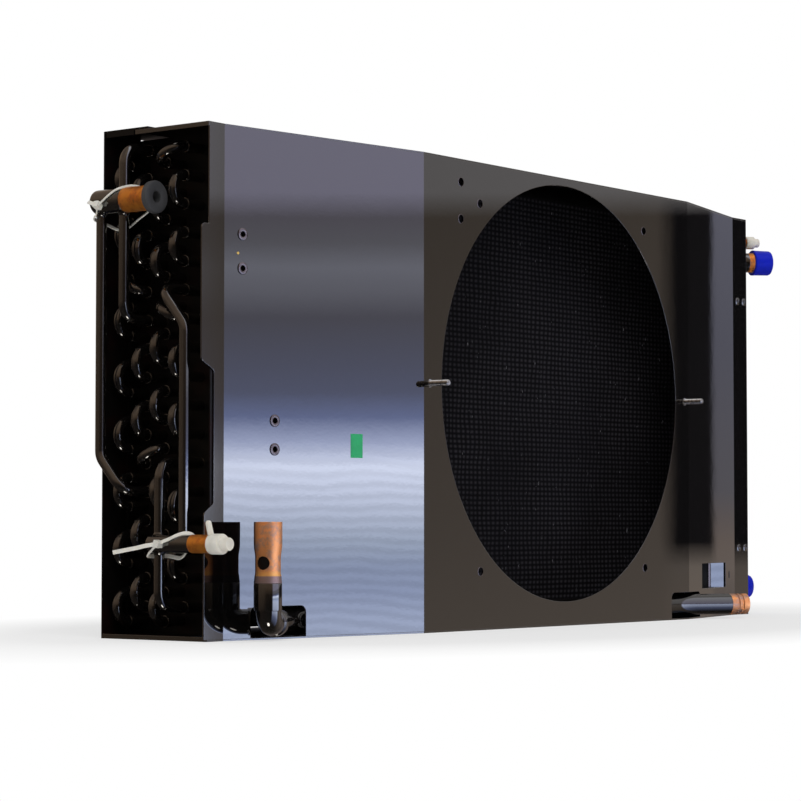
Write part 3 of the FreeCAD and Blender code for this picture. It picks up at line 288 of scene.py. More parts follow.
def moulded(name, base, rough, sheer=0.0, grain=0.00003, gloss=0.5):
    """Moulded plastic or rubber with a fine skin."""
    material, tree, shader = new_material(name)
    vector = object_place(tree)
    tint = noise(tree, vector, 120, 4)
    dark = tuple(channel * 0.82 for channel in base)
    join(tree, ramp(tree, tint, [(0.3, dark), (0.7, base)]), shader.inputs["Base Color"])
    fine = noise(tree, vector, 1500, 2)
    join(tree, spread(tree, fine, 0.3, 0.7, rough, rough + 0.1), shader.inputs["Roughness"])
    settings(shader, {"Specular IOR Level": gloss, "Subsurface Weight": sheer,
                      "Subsurface Radius": (0.004, 0.003, 0.002), "Subsurface Scale": 1.0})
    bump(tree, shader, [(fine, grain)])
    return material


def plated(name, base):
    """Zinc plated steel."""
    material, tree, shader = new_material(name)
    vector = object_place(tree)
    patch = noise(tree, vector, 300, 4)
    dull = tuple(channel * 0.6 for channel in base)
    join(tree, ramp(tree, patch, [(0.35, dull), (0.65, base)]), shader.inputs["Base Color"])
    settings(shader, {"Metallic": 1.0})
    join(tree, spread(tree, patch, 0.3, 0.7, 0.22, 0.42), shader.inputs["Roughness"])
    bump(tree, shader, [(patch, 0.00002)])
    return material


def pale_studio(name, base):
    """A pale floor that keeps the shadow near the object and runs out into plain white."""
    material, tree, shader = new_material(name)
    vector = object_place(tree)
    tone = noise(tree, vector, 3, 2)
    near = tuple(channel * 0.985 for channel in base)
    join(tree, ramp(tree, tone, [(0.3, near), (0.7, base)]), shader.inputs["Base Color"])
    settings(shader, {"Roughness": 0.9, "Specular IOR Level": 0.1})
    away = tree.nodes.new("ShaderNodeVectorMath")
    away.operation = "LENGTH"
    join(tree, object_place(tree, (0.85, 1.6, 1)), away.inputs[0])
    far = spread(tree, away.outputs["Value"], 0.50, 0.80, 0.55, 1)
    path = tree.nodes.new("ShaderNodeLightPath")
    share = arithmetic(tree, "MULTIPLY", far, path.outputs["Is Camera Ray"])
    white = tree.nodes.new("ShaderNodeEmission")
    settings(white, {"Color": (1, 1, 1, 1)})
    mixed = either_shader(tree, share, shader.outputs["BSDF"], white.outputs["Emission"])
    join(tree, mixed, tree.nodes["Material Output"].inputs["Surface"])
    return material


PAINT = black_paint("panel_paint", (0.0025, 0.0023, 0.0025), 0.012, 0.000002, 0.00003)
TUBE_PAINT = black_paint("tube_paint", (0.0035, 0.0030, 0.0028), 0.05, 0.00001)
LINE_PAINT = black_paint("line_paint", (0.0035, 0.0030, 0.0028), 0.09, 0.00001, coat=0.3)
DULL_PAINT = dull_paint("end_paint", (0.0035, 0.0028, 0.0026))
FIN_PAINT = fin_paint()
COPPER = bare_copper("copper", (0.98, 0.38, 0.06), (0.82, 0.26, 0.05), (0.45, 0.17, 0.06), 0.34,
                     0.85)
COPPER_SHADED_BACK = bare_copper("mottled_copper_shaded_back", (0.98, 0.42, 0.16), (0.66, 0.36, 0.24),
                          (0.40, 0.33, 0.32), 0.38, 0.8, PAINTED_SHADE_FROM)
END_COPPER = bare_copper("end_copper", (0.98, 0.42, 0.16), (0.66, 0.36, 0.24),
                         (0.40, 0.33, 0.32), 0.38, 0.8)
PALE = moulded("pale_plastic", (0.83, 0.79, 0.70), 0.35, 0.15)
TIE = moulded("tie_nylon", (0.85, 0.82, 0.74), 0.4, 0.1)
BLUE = moulded("blue_plastic", (0.001, 0.012, 0.55), 0.3, gloss=0.12)
RUBBER = moulded("rubber", (0.055, 0.055, 0.058), 0.62, 0.0, 0.00006)
RUBBER_DARK = moulded("dark_seal", (0.006, 0.006, 0.006), 0.7, 0.0, 0.00006, 0.2)
ZINC = plated("zinc", (0.62, 0.60, 0.56))
DULL_STEEL = plated("dull_steel", (0.20, 0.17, 0.17))
GREEN = moulded("green_label", (0.01, 0.42, 0.14), 0.45)
GOLD = moulded("gold_speck", (0.75, 0.5, 0.12), 0.4)
FLOOR = pale_studio("floor", (0.86, 0.86, 0.86))


# Meshes.

BOX_FACES = [(0, 1, 3, 2), (4, 6, 7, 5), (0, 4, 5, 1), (2, 3, 7, 6), (0, 2, 6, 4), (1, 5, 7, 3)]


def linked(name, data):
    """A new object in the scene for a mesh, a camera or a light."""
    built = bpy.data.objects.new(name, data)
    bpy.context.scene.collection.objects.link(built)
    return built


def mesh_of(name, points, faces):
    mesh = bpy.data.meshes.new(name)
    mesh.from_pydata([tuple(point) for point in points], [], faces)
    return mesh


def piece(name, points, faces, material, slot, body="casing", smooth=True, keep_edges=40):
    """A mesh that rides on a body. Edges sharper than keep_edges, in degrees, stay crisp."""
    mesh = mesh_of(name, points, faces)
    mesh.materials.append(material)
    mesh.update()
    built = linked(name, mesh)
    for polygon in mesh.polygons:
        polygon.use_smooth = smooth
    if smooth:
        mesh.set_sharp_from_angle(angle=math.radians(keep_edges))
    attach(built, body)
    return built


def merged(parts):
    """Joins lists of points and faces into one pair."""
    points, faces = [], []
    for part_points, part_faces in parts:
        base = len(points)
        points += part_points
        faces += [tuple(index + base for index in face) for face in part_faces]
    return points, faces


def frame_along(path):
    """A direction and a side for every point of a path, without twist."""
    directions = []
    for i in range(len(path)):
        before = path[max(i - 1, 0)]
        after = path[min(i + 1, len(path) - 1)]
        directions.append((after - before).normalized())
    start = Vector((0, 0, 1)) if abs(directions[0].z) < 0.9 else Vector((1, 0, 0))
    side = directions[0].cross(start).normalized()
    sides = [side]
    for before, after in zip(directions, directions[1:]):
        side = before.rotation_difference(after) @ side
        side = (side - after * side.dot(after)).normalized()
        sides.append(side)
    return directions, sides


def ring_faces(rings, segments):
    """The faces between neighbouring rings of points."""
    faces = []
    for low in range(0, (rings - 1) * segments, segments):
        for i in range(segments):
            j = (i + 1) % segments
            faces.append((low + i, low + j, low + segments + j, low + segments + i))
    return faces


def tube_along(path, radii, segments=24, closed_ends=True):
    """Points and faces of a round tube of changing radius along a path."""
    directions, sides = frame_along(path)
    points = []
    for centre, direction, side, radius in zip(path, directions, sides, radii):
        up = direction.cross(side)
        for i in range(segments):
            angle = math.tau * i / segments
            points.append(centre + (side * math.cos(angle) + up * math.sin(angle)) * radius)
    faces = ring_faces(len(path), segments)
    if closed_ends:
        faces.append(tuple(range(segments))[::-1])
        last = (len(path) - 1) * segments
        faces.append(tuple(range(last, last + segments)))
    return points, faces


def rounded(corners, radius, step=6.0):
    """A path through corners, with round bends between them, in millimetres."""
    path = [corners[0]]
    for before, corner, after in zip(corners, corners[1:], corners[2:]):
        arriving = (corner - before).normalized()
        leaving = (after - corner).normalized()
        turn = arriving.angle(leaving)
        if turn < 0.01:
            continue
        centre = corner + (leaving - arriving).normalized() * (radius / math.cos(turn / 2))
        start = corner - arriving * (radius * math.tan(turn / 2)) - centre
        axis = arriving.cross(leaving)
        steps = max(2, int(math.degrees(turn) / step))
        for i in range(steps + 1):
            path.append(centre + Quaternion(axis, turn * i / steps) @ start)
    path.append(corners[-1])
    return path


def to_frame(path):
    return [place(*point) for point in path]


def round_point(centre, turn, radius, angle, distance):
    """A point beside an axis, which is +Z turned by a rotation, in the frame's metres."""
    local = Vector((radius * math.cos(angle), radius * math.sin(angle), distance))
    return place(*(centre + turn @ local))


def turned(profile, position, direction, segments=48):
    """Points and faces round an axis, from an open profile of radius and distance, in mm."""
    turn = Vector((0, 0, 1)).rotation_difference(direction)
    points = [round_point(position, turn, radius, math.tau * i / segments, distance)
              for radius, distance in profile for i in range(segments)]
    return points, ring_faces(len(profile), segments)


def box_between(low, high):
    """Points and faces of a box between two corners of the drawing."""
    corners = [place(x, y, z) for x in (low[0], high[0]) for y in (low[1], high[1])
               for z in (low[2], high[2])]
    return corners, BOX_FACES


def soften(built, width, segments=3):
    """Rounds the edges of a piece by a width in millimetres."""
    bevel = built.modifiers.new("rounded_edges", "BEVEL")
    bevel.width = width / 1000
    bevel.segments = segments
    bevel.limit_method = "ANGLE"
    bevel.angle_limit = math.radians(30)
    return built


# Carried-over sheets and brackets.

def paint_node(name, material):
    """Gives one of the frame's own meshes a material."""
    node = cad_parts[name]
    node.data.materials.clear()
    node.data.materials.append(material)
    for polygon in node.data.polygons:
        polygon.material_index = 0


for name in ("front_panel", "base_sheet", "top_sheet", "window_plate"):
    paint_node(name, PAINT)
for name in ("top_plate", "bottom_plate", "left_end_sheet", "right_end_sheet", "left_rear_strip",
             "right_rear_strip"):
    paint_node(name, DULL_PAINT)
paint_node("header_brackets", ZINC)
paint_node("line_saddles", RUBBER)


# Coil.

LEFT_UPRIGHT = {
    1: (0, 2, 4, 6, 8, 10, 13, 15),
    2: (0, 2, 6, 8, 12, 14),
    3: (0, 2, 4, 7, 9, 12, 14),
    4: (1, 3, 6, 8, 12, 14),
}
LEFT_CROSSING = [((1, 12), (2, 11)), ((2, 5), (3, 6)), ((3, 11), (4, 10)), ((3, 16), (4, 16))]
RIGHT_UPRIGHT = {
    1: (1, 3, 5, 7, 9, 11, 14),
    2: (3, 5, 7, 10),
    3: (5, 10, 13),
    4: (2, 5, 9, 11, 13, 15),
}
RIGHT_CROSSING = [
    ((1, 0), (2, 0)), ((1, 13), (2, 13)), ((1, 16), (2, 16)), ((2, 1), (3, 1)), ((2, 2), (3, 3)),
    ((2, 9), (3, 9)), ((2, 12), (3, 12)), ((2, 14), (3, 15)), ((2, 15), (3, 16)), ((3, 0), (4, 0)),
    ((3, 2), (4, 1)), ((3, 4), (4, 4)), ((3, 7), (4, 7)), ((3, 8), (4, 8)),
]


LEFT_RIM = 22.5
LEFT_REACH = 41.4
RIGHT_REACH = 22.4
BEND_STEPS = 24


def tube_centre(column, number, x):
    """A coil tube's centre, with columns counted from the back and numbers from the base."""
    stagger = 0 if column % 2 else TUBE_PITCH / 2
    return Vector((x, CASING_DEPTH - COLUMN_PITCH * (column - 0.5),
                   LOWEST_TUBE + stagger + TUBE_PITCH * number))


def upright_pairs(columns):
    return [((column, number), (column, number + 1))
            for column, numbers in columns.items() for number in numbers]


def leg(start, outward, rim):
    """Path and radii of a coil tube's end, from the sheet to its belled rim if it has one."""
    away = Vector((outward, 0, 0))
    spots = [(0, TUBE)]
    if rim:
        spots += [(rim - 7.5, TUBE), (rim - 6.0, BELL - 0.1), (rim - 0.6, BELL),
                  (rim, BELL - 0.25), (rim, TUBE + 0.05)]
    return [start + away * distance for distance, radius in spots], [r for d, r in spots]


def bend_tube(first, second, sheet_x, outward, rim, reach):
    """A bend between two tubes: both belled ends and the half circle between them."""
    start = tube_centre(*first, sheet_x)
    end = tube_centre(*second, sheet_x)
    leg_path, leg_radii = leg(start, outward, rim)
    back_path, back_radii = leg(end, outward, rim)
    radius = (end - start).length / 2
    centre = (start + end) / 2 + Vector((outward * (reach - radius - TUBE), 0, 0))
    axis = Vector((outward, 0, 0)).cross(end - start).normalized()
    arc = [centre + Quaternion(axis, math.pi * i / BEND_STEPS) @ (start - end) / 2
           for i in range(BEND_STEPS + 1)]
    path = leg_path + arc + back_path[::-1]
    radii = leg_radii + [TUBE] * len(arc) + back_radii[::-1]
    return tube_along(to_frame(path), [r / 1000 for r in radii], 20)


def bends(name, pairs, sheet_x, outward, rim, reach):
    """All the bends of one kind, which reach outward from an end sheet."""
    parts = [bend_tube(first, second, sheet_x, outward, rim, reach) for first, second in pairs]
    built = piece(name + "_round", *merged(parts), TUBE_PAINT, "black_paint")
    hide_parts(name)


bends("return_bends", upright_pairs(LEFT_UPRIGHT), END_SHEET, -1, LEFT_RIM, LEFT_REACH)
bends("crossover_bends", LEFT_CROSSING, END_SHEET, -1, LEFT_RIM, LEFT_REACH)
bends("hairpin_bends", upright_pairs(RIGHT_UPRIGHT) + RIGHT_CROSSING, CASING_WIDTH - END_SHEET, 1,
      0, RIGHT_REACH)


FIN_PITCH = 1.8
FIN_THICKNESS = 0.3
FIN_LEFT = 46.6
FIN_RIGHT = 873.4
FIN_FRONT = 37.6
FIN_BACK = 125.4
FIN_BOTTOM = 9.2
FIN_TOP = 440.8


def fins():
    """Thin upright fins and the straight tubes that run through them."""
    parts = []
    count = int((FIN_RIGHT - FIN_LEFT) / FIN_PITCH)
    for i in range(count + 1):
        x = FIN_LEFT + FIN_PITCH * i
        parts.append(box_between((x, FIN_FRONT, FIN_BOTTOM),
                                 (x + FIN_THICKNESS, FIN_BACK, FIN_TOP)))
    sheets = piece("fin_sheets", *merged(parts), FIN_PAINT, "fins", smooth=False)
    parts = []
    for column in range(1, 5):
        for number in range(17):
            start = tube_centre(column, number, FIN_LEFT)
            run = [start, start + Vector((FIN_RIGHT - FIN_LEFT, 0, 0))]
            parts.append(tube_along(to_frame(run), [TUBE / 1000] * 2, 12, closed_ends=False))
    tubes = piece("fin_tubes", *merged(parts), FIN_PAINT, "fins")
    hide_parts("fin_pack")
    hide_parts("fin_pack")


fins()


# Manifolds, feeders and outlets at the left end.

def brazed(centre, axis, radius, rise):
    """A fillet of braze round a joint, as points and faces."""
    profile = [(radius - 0.2, -rise), (radius + 0.7, -rise * 0.4), (radius + 1.1, 0),
               (radius + 0.7, rise * 0.4), (radius - 0.2, rise)]
    return turned(profile, centre, axis, 24)


def round_pipe(name, corners, radius, bend, material, slot, joints=()):
    """A closed round tube through corners, with the joints at its ends."""
    path = to_frame(rounded(corners, bend))
    parts = [tube_along(path, [radius / 1000] * len(path), 28)] + list(joints)
    built = piece(name + "_round", *merged(parts), material, slot)
    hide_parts(name)


DISCHARGE = Vector((-11.0, 87.0, 386.5))
DISCHARGE_LENGTH = 37.0
DISCHARGE_STUB = 30.8
LIQUID = Vector((-12.5, 5.5, 84.0))
LIQUID_LENGTH = 50.0
LIQUID_STUB = 33.0
FEEDER_X = -8.0
FEEDER_BEND = 15.0
FORWARD = Vector((0, -1, 0))
BACKWARD = Vector((0, 1, 0))
UPWARD = Vector((0, 0, 1))
DOWNWARD = Vector((0, 0, -1))


def shell(name, profile, position, direction, material, slot, body="casing", keep_edges=40):
    """A turned part in place of the frame's node."""
    built = piece(name + "_round", *turned(profile, position, direction), material, slot, body,
                  keep_edges=keep_edges)
    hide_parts(name)
    return built


def spun_end(radius, length):
    """Profile of a manifold's closed end: a tube spun down to a shallow dome."""
    edge = radius * 0.42
    profile = [(radius, 0)]
    steps = 6
    for i in range(steps + 1):
        angle = math.radians(90 * i / steps)
        profile.append((radius - edge + edge * math.cos(angle),
                        length - edge + edge * math.sin(angle)))
    return profile + [(radius * 0.25, length + 0.05), (0.02, length + 0.05)]


shell("discharge_manifold", [(THICK_INNER, 0)] + spun_end(THICK_TUBE, DISCHARGE_LENGTH),
      DISCHARGE, BACKWARD, TUBE_PAINT, "black_paint", keep_edges=60)
shell("discharge_stub",
      [(THICK_INNER, DISCHARGE_STUB), (THICK_INNER, 0), (THICK_TUBE - 0.1, 0),
       (THICK_TUBE - 0.1, 0.2), (THICK_TUBE, 0.4), (THICK_TUBE, DISCHARGE_STUB)],
      DISCHARGE, FORWARD, COPPER, "copper")
PLUG = DISCHARGE + FORWARD * DISCHARGE_STUB
shell("rubber_plug",
      [(0.02, -16), (9.0, -16), (9.9, -15), (9.95, 0), (13.7, 0), (14.4, 0.7), (14.45, 4.9),
       (13.6, 5.9), (13.0, 6.0), (5.6, 6.0), (5.1, 5.6), (5.0, -9.0), (0.02, -9.1)],
      PLUG, FORWARD, RUBBER, "rubber", "plug")

shell("liquid_manifold", [(LIQUID_INNER, 0)] + spun_end(LIQUID_TUBE, LIQUID_LENGTH),
      LIQUID, BACKWARD, TUBE_PAINT, "black_paint", keep_edges=60)
shell("liquid_stub",
      [(LIQUID_INNER, LIQUID_STUB), (LIQUID_INNER, 0), (LIQUID_TUBE, 0),
       (LIQUID_TUBE, LIQUID_STUB)],
      LIQUID, FORWARD, COPPER, "copper")
LIQUID_CAP = LIQUID + FORWARD * (LIQUID_STUB - 11.0)


def pull_tab(rim, direction, heading, inner, outer, width, thick):
    """A flat tab with a rounded end that stands out from a cap's rim."""
    side = direction.cross(heading).normalized()
    half = width / 2
    steps = 12
    angles = [math.pi * (i / steps - 0.5) for i in range(steps + 1)]
    outline = [(inner, -half)]
    outline += [(outer - half + half * math.cos(angle), half * math.sin(angle))
                for angle in angles]
    outline.append((inner, half))
    points = [place(*(rim + heading * away + side * across + direction * level))
              for level in (0, thick) for away, across in outline]
    count = len(outline)
    faces = [tuple(range(count))[::-1], tuple(range(count, 2 * count))]
    return points, faces + ring_faces(2, count)


def capped(name, rim, direction, profile, tab, material, slot, body):
    """A turned cap with a pull tab at its rim."""
    parts = [turned(profile, rim, direction), pull_tab(rim, direction, *tab)]
    built = piece(name + "_round", *merged(parts), material, slot, body, keep_edges=45)
    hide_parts(name)


capped("liquid_cap", LIQUID_CAP, FORWARD,
       [(7.99, 11.0), (7.99, 0.3), (8.1, 0), (8.75, 0), (8.84, 0.3), (8.84, 12.0), (8.4, 12.7),
        (7.5, 13.0), (6.2, 13.2), (5.8, 13.8), (5.7, 19.6), (5.2, 20.4), (4.4, 20.5),
        (0.02, 20.5)],
       (Vector((-0.3, 0, 0.954)), 8.4, 21.0, 5.5, 2.0), PALE, "pale_plastic", "liquid_cap")


def branch(name, tube, manifold, radius, sunk, root=None, knee=0.0):
    """A line from a manifold to a coil tube's end, with braze and a bell at its ends.

    It stands on the manifold opposite its tube. With a root, it stands there instead, and turns
    towards its tube a knee's length before the tube's height.
    """
    end = tube_centre(*tube, END_SHEET)
    away = UPWARD if end.z > manifold.z else DOWNWARD
    x, y = root or (FEEDER_X, end.y)
    foot = Vector((x, y, manifold.z))
    corners = [foot + away * (radius - sunk)]
    if root:
        corners.append(Vector((x, y, end.z)) - away * knee)
    corners += [Vector((FEEDER_X, end.y, end.z)), end]
    joint = brazed(foot + away * (radius + 0.3), away, TUBE, 1.6)
    collar = turned([(TUBE, 0), (BELL - 0.1, -15.0), (BELL, -20.5), (BELL - 0.2, -21.5),
                     (TUBE, -21.5)], end, Vector((1, 0, 0)), 24)
    round_pipe(name, corners, TUBE, FEEDER_BEND, TUBE_PAINT, "black_paint", [joint, collar])


branch("feeder_top", (2, 16), DISCHARGE, THICK_TUBE, 1.5)
branch("feeder_middle", (2, 10), DISCHARGE, THICK_TUBE, 1.5)
branch("feeder_lower", (2, 4), DISCHARGE, THICK_TUBE, 1.5, (DISCHARGE.x, 117.0), 31.0)
branch("outlet_middle", (4, 5), LIQUID, LIQUID_TUBE, 2.0)
branch("outlet_lower", (4, 0), LIQUID, LIQUID_TUBE, 2.0)
branch("outlet_upper", (4, 11), LIQUID, LIQUID_TUBE, 2.0, (FEEDER_X, 20.0), 34.0)


# Transfer line below the fan opening.

LINE_Z = 15.4
LINE_BEND = 60.0
ELBOW_BEND = 14.1
ELBOW = Vector((43.5, -31.4, LINE_Z))
ELBOW_FOOT = Vector((ELBOW.x, ELBOW.y, 0))
LINE_TURN = Vector((110.0, 2.0, LINE_Z))
LINE_SECOND = Vector((737.0, -21.5, LINE_Z))
EXIT_TURN = math.radians(31)
LINE_EXIT = Vector((math.cos(EXIT_TURN), -math.sin(EXIT_TURN), 0))
LINE_END = LINE_SECOND + LINE_EXIT * 59.0
ELBOW_HEADING = (LINE_TURN - ELBOW).normalized()
ELBOW_JOINT = ELBOW + ELBOW_HEADING * 28.0

round_pipe("transfer_pipe", [ELBOW_JOINT, LINE_TURN, LINE_SECOND, LINE_END], THICK_TUBE,
           LINE_BEND, LINE_PAINT, "black_paint")


def line_elbow():
    path = to_frame(rounded([ELBOW + UPWARD * 15.0, ELBOW, ELBOW_JOINT], ELBOW_BEND))
    bent = tube_along(path, [THICK_TUBE / 1000] * len(path), 32)
    cup = turned([(THICK_TUBE + 0.1, 26.0), (12.25, 26.3), (12.4, 27.0), (12.4, 49.2),
                  (12.15, 50.0), (THICK_TUBE + 0.15, 50.0), (THICK_TUBE + 0.12, 36.0)],
                 ELBOW_FOOT, UPWARD)
    socket = turned([(THICK_TUBE, -9.0), (12.1, -8.4), (12.3, -7.5), (12.3, 0), (THICK_TUBE, 0.2)],
                    ELBOW_JOINT, ELBOW_HEADING)
    built = piece("transfer_elbow_round", *merged([bent, cup, socket]), TUBE_PAINT,
                  "black_paint")
    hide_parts("transfer_elbow")


line_elbow()


SIDE_HOLE = 5.9
SIDE_HOLE_Z = 67.5
SIDE_HOLE_TURN = math.radians(16)
HOLE_SEGMENTS = 40


def coupling():
    """The upright copper coupling, with a hole in its side and braze at its foot."""
    profile = [(THICK_TUBE, 36.0), (THICK_TUBE, 49.5), (THICK_TUBE + 1.2, 50.2),
               (THICK_TUBE + 0.8, 53.0), (THICK_TUBE + 0.5, 56.5), (THICK_TUBE, 58.0),
               (THICK_TUBE, 72.0), (THICK_TUBE + 0.2, 75.0), (12.1, 80.0), (12.35, 83.5),
               (12.4, 102.5), (12.1, 103.0),
               (THICK_INNER + 0.2, 103.0), (THICK_INNER, 102.7), (THICK_INNER, 36.0)]
    built = piece("transfer_coupling_round", *turned(profile, ELBOW_FOOT, UPWARD), COPPER_SHADED_BACK,
                  "copper")
    outward = Vector((-math.cos(SIDE_HOLE_TURN), -math.sin(SIDE_HOLE_TURN), 0))
    points, faces = turned([(SIDE_HOLE, 0), (SIDE_HOLE, 30.0)], ELBOW_FOOT + UPWARD * SIDE_HOLE_Z,
                           outward, HOLE_SEGMENTS)
    faces += [tuple(range(HOLE_SEGMENTS))[::-1], tuple(range(HOLE_SEGMENTS, 2 * HOLE_SEGMENTS))]
    cutter = linked("hole", mesh_of("hole", points, faces))
    cut = built.modifiers.new("side_hole", "BOOLEAN")
    cut.operation = "DIFFERENCE"
    cut.object = cutter
    cut.solver = "EXACT"
    bpy.context.view_layer.update()
    graph = bpy.context.evaluated_depsgraph_get()
    cleaned = bpy.data.meshes.new_from_object(built.evaluated_get(graph))
    built.modifiers.clear()
    built.data = cleaned
    cleaned.set_sharp_from_angle(angle=math.radians(40))
    bpy.data.objects.remove(cutter)
    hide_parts("transfer_coupling")
    # A dark lining inside the coupling's bore, from 40 to 80 mm up.
    outer, inner = THICK_INNER - 0.05, THICK_INNER - 0.4
    sleeve = [(outer, 40.0), (outer, 80.0), (inner, 80.0), (inner, 40.0), (outer, 40.0)]
    piece("coupling_dark_lining", *turned(sleeve, ELBOW_FOOT, UPWARD), DULL_PAINT, "black_paint")


coupling()


def ringed_end():
    """The bare copper end with two rolled rings and an open mouth."""
    profile = [(THICK_INNER, 0), (THICK_TUBE, 0)]
    steps = 8
    for middle in (7.9, 13.1):
        for i in range(steps + 1):
            angle = math.pi * i / steps
            profile.append((THICK_TUBE - 0.8 * math.sin(angle), middle - 1.2 * math.cos(angle)))
    profile += [(THICK_TUBE, 20.6), (THICK_TUBE - 0.3, 21.0), (THICK_INNER + 0.2, 21.0),
                (THICK_INNER, 20.7), (THICK_INNER, 0)]
    shell("transfer_end", profile, LINE_END, LINE_EXIT, END_COPPER, "copper")


ringed_end()


# Header at the right end.

HEADER_X = 934.0
HEADER_LEVEL_Y = 17.4
HEADER_Y = 55.0
HEADER_LOW = 31.0
HEADER_HIGH = 403.0
HEADER_BEND = 24.0
STUB_BEND = 18.0
STUB_TURN = math.radians(53.1)
AWAY = Vector((math.sin(STUB_TURN), -math.cos(STUB_TURN), 0))
HEADER_MOUTH = Vector((HEADER_X, 31.1, HEADER_LOW))
HEADER_CORNER = Vector((HEADER_X, HEADER_Y, HEADER_HIGH))
HEADER_TURN = Vector((HEADER_X, HEADER_LEVEL_Y, HEADER_HIGH))
PAINT_END = HEADER_TURN + AWAY * 9.5


def header():
    joint = Vector((HEADER_X, HEADER_Y - 26.3, HEADER_HIGH))
    path = rounded([HEADER_MOUTH, Vector((HEADER_X, HEADER_Y, HEADER_LOW)), HEADER_CORNER, joint],
                   HEADER_BEND)
    path = to_frame(path + rounded([joint, HEADER_TURN, PAINT_END], STUB_BEND)[1:])
    built = piece("right_header_round", *tube_along(path, [THICK_TUBE / 1000] * len(path), 32),
                  TUBE_PAINT, "black_paint")
    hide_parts("right_header")


header()


def open_stub(name, length, mouth, direction):
    profile = [(THICK_INNER, 0), (THICK_TUBE, 0), (THICK_TUBE, length), (THICK_INNER, length)]
    return shell(name, profile, mouth, direction, COPPER, "copper")


stub = open_stub("upper_stub", 24.0, PAINT_END, AWAY)
open_stub("lower_stub", 18.0, HEADER_MOUTH, FORWARD)


def blue_cap(name, rim, direction, body, radius, length):
    profile = [(11.16, 18.0), (11.16, 0.4), (11.6, 0), (radius - 0.3, 0), (radius, 0.3),
               (radius, 2.6), (radius - 0.2, 3.0), (radius - 0.5, length - 2.0),
               (radius - 1.2, length - 0.6), (radius - 2.3, length), (3.0, length),
               (2.6, length - 0.4), (0.02, length - 0.4)]
    return shell(name, profile, rim, direction, BLUE, "blue_plastic", body)


cap = blue_cap("upper_blue_cap", PAINT_END + AWAY * 6.0, AWAY, "upper_cap", 14.5, 22.0)
for unseen in (stub, cap):    # the photo's right slope doesn't mirror them
    unseen.visible_glossy = False
blue_cap("lower_blue_cap", HEADER_MOUTH, FORWARD, "lower_cap", 13.5, 24.0)

SERVICE_Z = 426.0
SERVICE_BEND = 12.0
SERVICE_END = Vector((HEADER_X, HEADER_LEVEL_Y, SERVICE_Z)) + AWAY * 16.0
round_pipe("service_stub",
           [HEADER_CORNER, Vector((HEADER_X, HEADER_Y, SERVICE_Z)),
            Vector((HEADER_X, HEADER_LEVEL_Y, SERVICE_Z)), SERVICE_END],
           TUBE, SERVICE_BEND, COPPER, "copper")
SERVICE_TAB = (Vector((0, 0, -0.35)) + AWAY.cross(Vector((0, 0, -0.94)))).normalized()
capped("service_cap", SERVICE_END - AWAY * 8.0, AWAY,
       [(4.9, 8.0), (4.9, 0.3), (5.2, 0), (7.0, 0), (7.2, 0.3), (7.2, 9.3), (6.6, 10.0),
        (5.4, 10.2), (5.0, 10.8), (4.9, 15.4), (4.4, 16.0), (0.02, 16.0)],
       (SERVICE_TAB, 5.9, 20.2, 5.5, 2.0), PALE, "pale_plastic", "service_cap")


# Window, slot, studs, rivet nuts, rivets and labels.

WINDOW_LOW, WINDOW_HIGH = 30.6, 60.4
TAB_TURN = Vector((FACE_RIGHT + 71.3, 3.0, 0))
TAB_END = Vector((857.5, -5.7, 0))
SEAL_END, BAR_END, EDGE_END = 23.0, 26.4, 28.4    # from the tab's turn


def slab(start, end, near, far, low, high):
    """A flat bar along a level line, between two distances in front of it."""
    heading = (end - start).normalized()
    out = Vector((heading.y, -heading.x, 0))
    points = [place(*(spot + out * reach + UPWARD * level)) for spot in (start, end)
              for reach in (near, far) for level in (low, high)]
    return points, BOX_FACES


def window_details():
    """Seal and bar on the plate behind the window, and the seal behind the slot."""
    along = (TAB_END - TAB_TURN).normalized()
    seal_end, bar_end, edge_end = (TAB_TURN + along * run for run in (SEAL_END, BAR_END, EDGE_END))
    seal = slab(TAB_TURN, seal_end, 0, 0.8, WINDOW_LOW, WINDOW_HIGH)
    back = slab(Vector((866.0, -3.7, 0)), Vector((874.0, -1.9, 0)), -0.7, 0.05, 39.6, 50.9)
    soften(piece("window_seal", *merged([seal, back]), RUBBER_DARK, "rubber", smooth=False), 0.2)
    bar = slab(seal_end, bar_end, 0, 1.6, WINDOW_LOW, WINDOW_HIGH)
    soften(piece("window_bar", *bar, DULL_STEEL, "zinc", smooth=False), 0.4)
    edge = slab(bar_end, edge_end, 0, 0.4, WINDOW_LOW, WINDOW_HIGH)
    piece("window_edge", *edge, RUBBER_DARK, "rubber", smooth=False)


window_details()


STUD_ACROSS = 227.5
GUARD_HOLES = [(FAN_OFFSET + side * 147.0, FAN_HEIGHT + level * 177.0)
               for side in (-1, 1) for level in (-1, 1)]
LEAD_HOLES = [(FAN_OFFSET - STUD_ACROSS + 49.5, CASING_HEIGHT - 57.6 + rise)
              for rise in (0, 35.4)]
RIVET_NUTS = ((41.6, 354.7), (41.6, 324.7), (79.2, 192.3), (79.2, 167.0))
FLANGE_RIVETS = [(x, z) for x in (900.0, 914.0) for z in (355.0, 75.0)]
BURR_PROFILE = [(3.98, -0.6), (3.98, 0.08), (4.1, 0.2), (4.45, 0.16), (4.6, 0.01)]
NUT_PROFILE = [(2.6, -9.0), (2.6, 0.7), (3.0, 0.95), (5.0, 0.95), (5.5, 0.6), (5.5, 0.02),
               (3.45, 0.0), (3.45, -9.0), (2.6, -9.0)]
RIVET_PROFILE = [(4.2, -0.05), (4.1, 0.25), (3.5, 0.45), (1.5, 0.6), (1.2, 0.5), (1.1, 0.1),
                 (0.02, 0.1)]


def row_of(name, profile, centres, direction, material, slot, segments=48):
    """The same turned part at several places, as one piece."""
    parts = [turned(profile, centre, direction, segments) for centre in centres]
    piece(name, *merged(parts), material, slot)


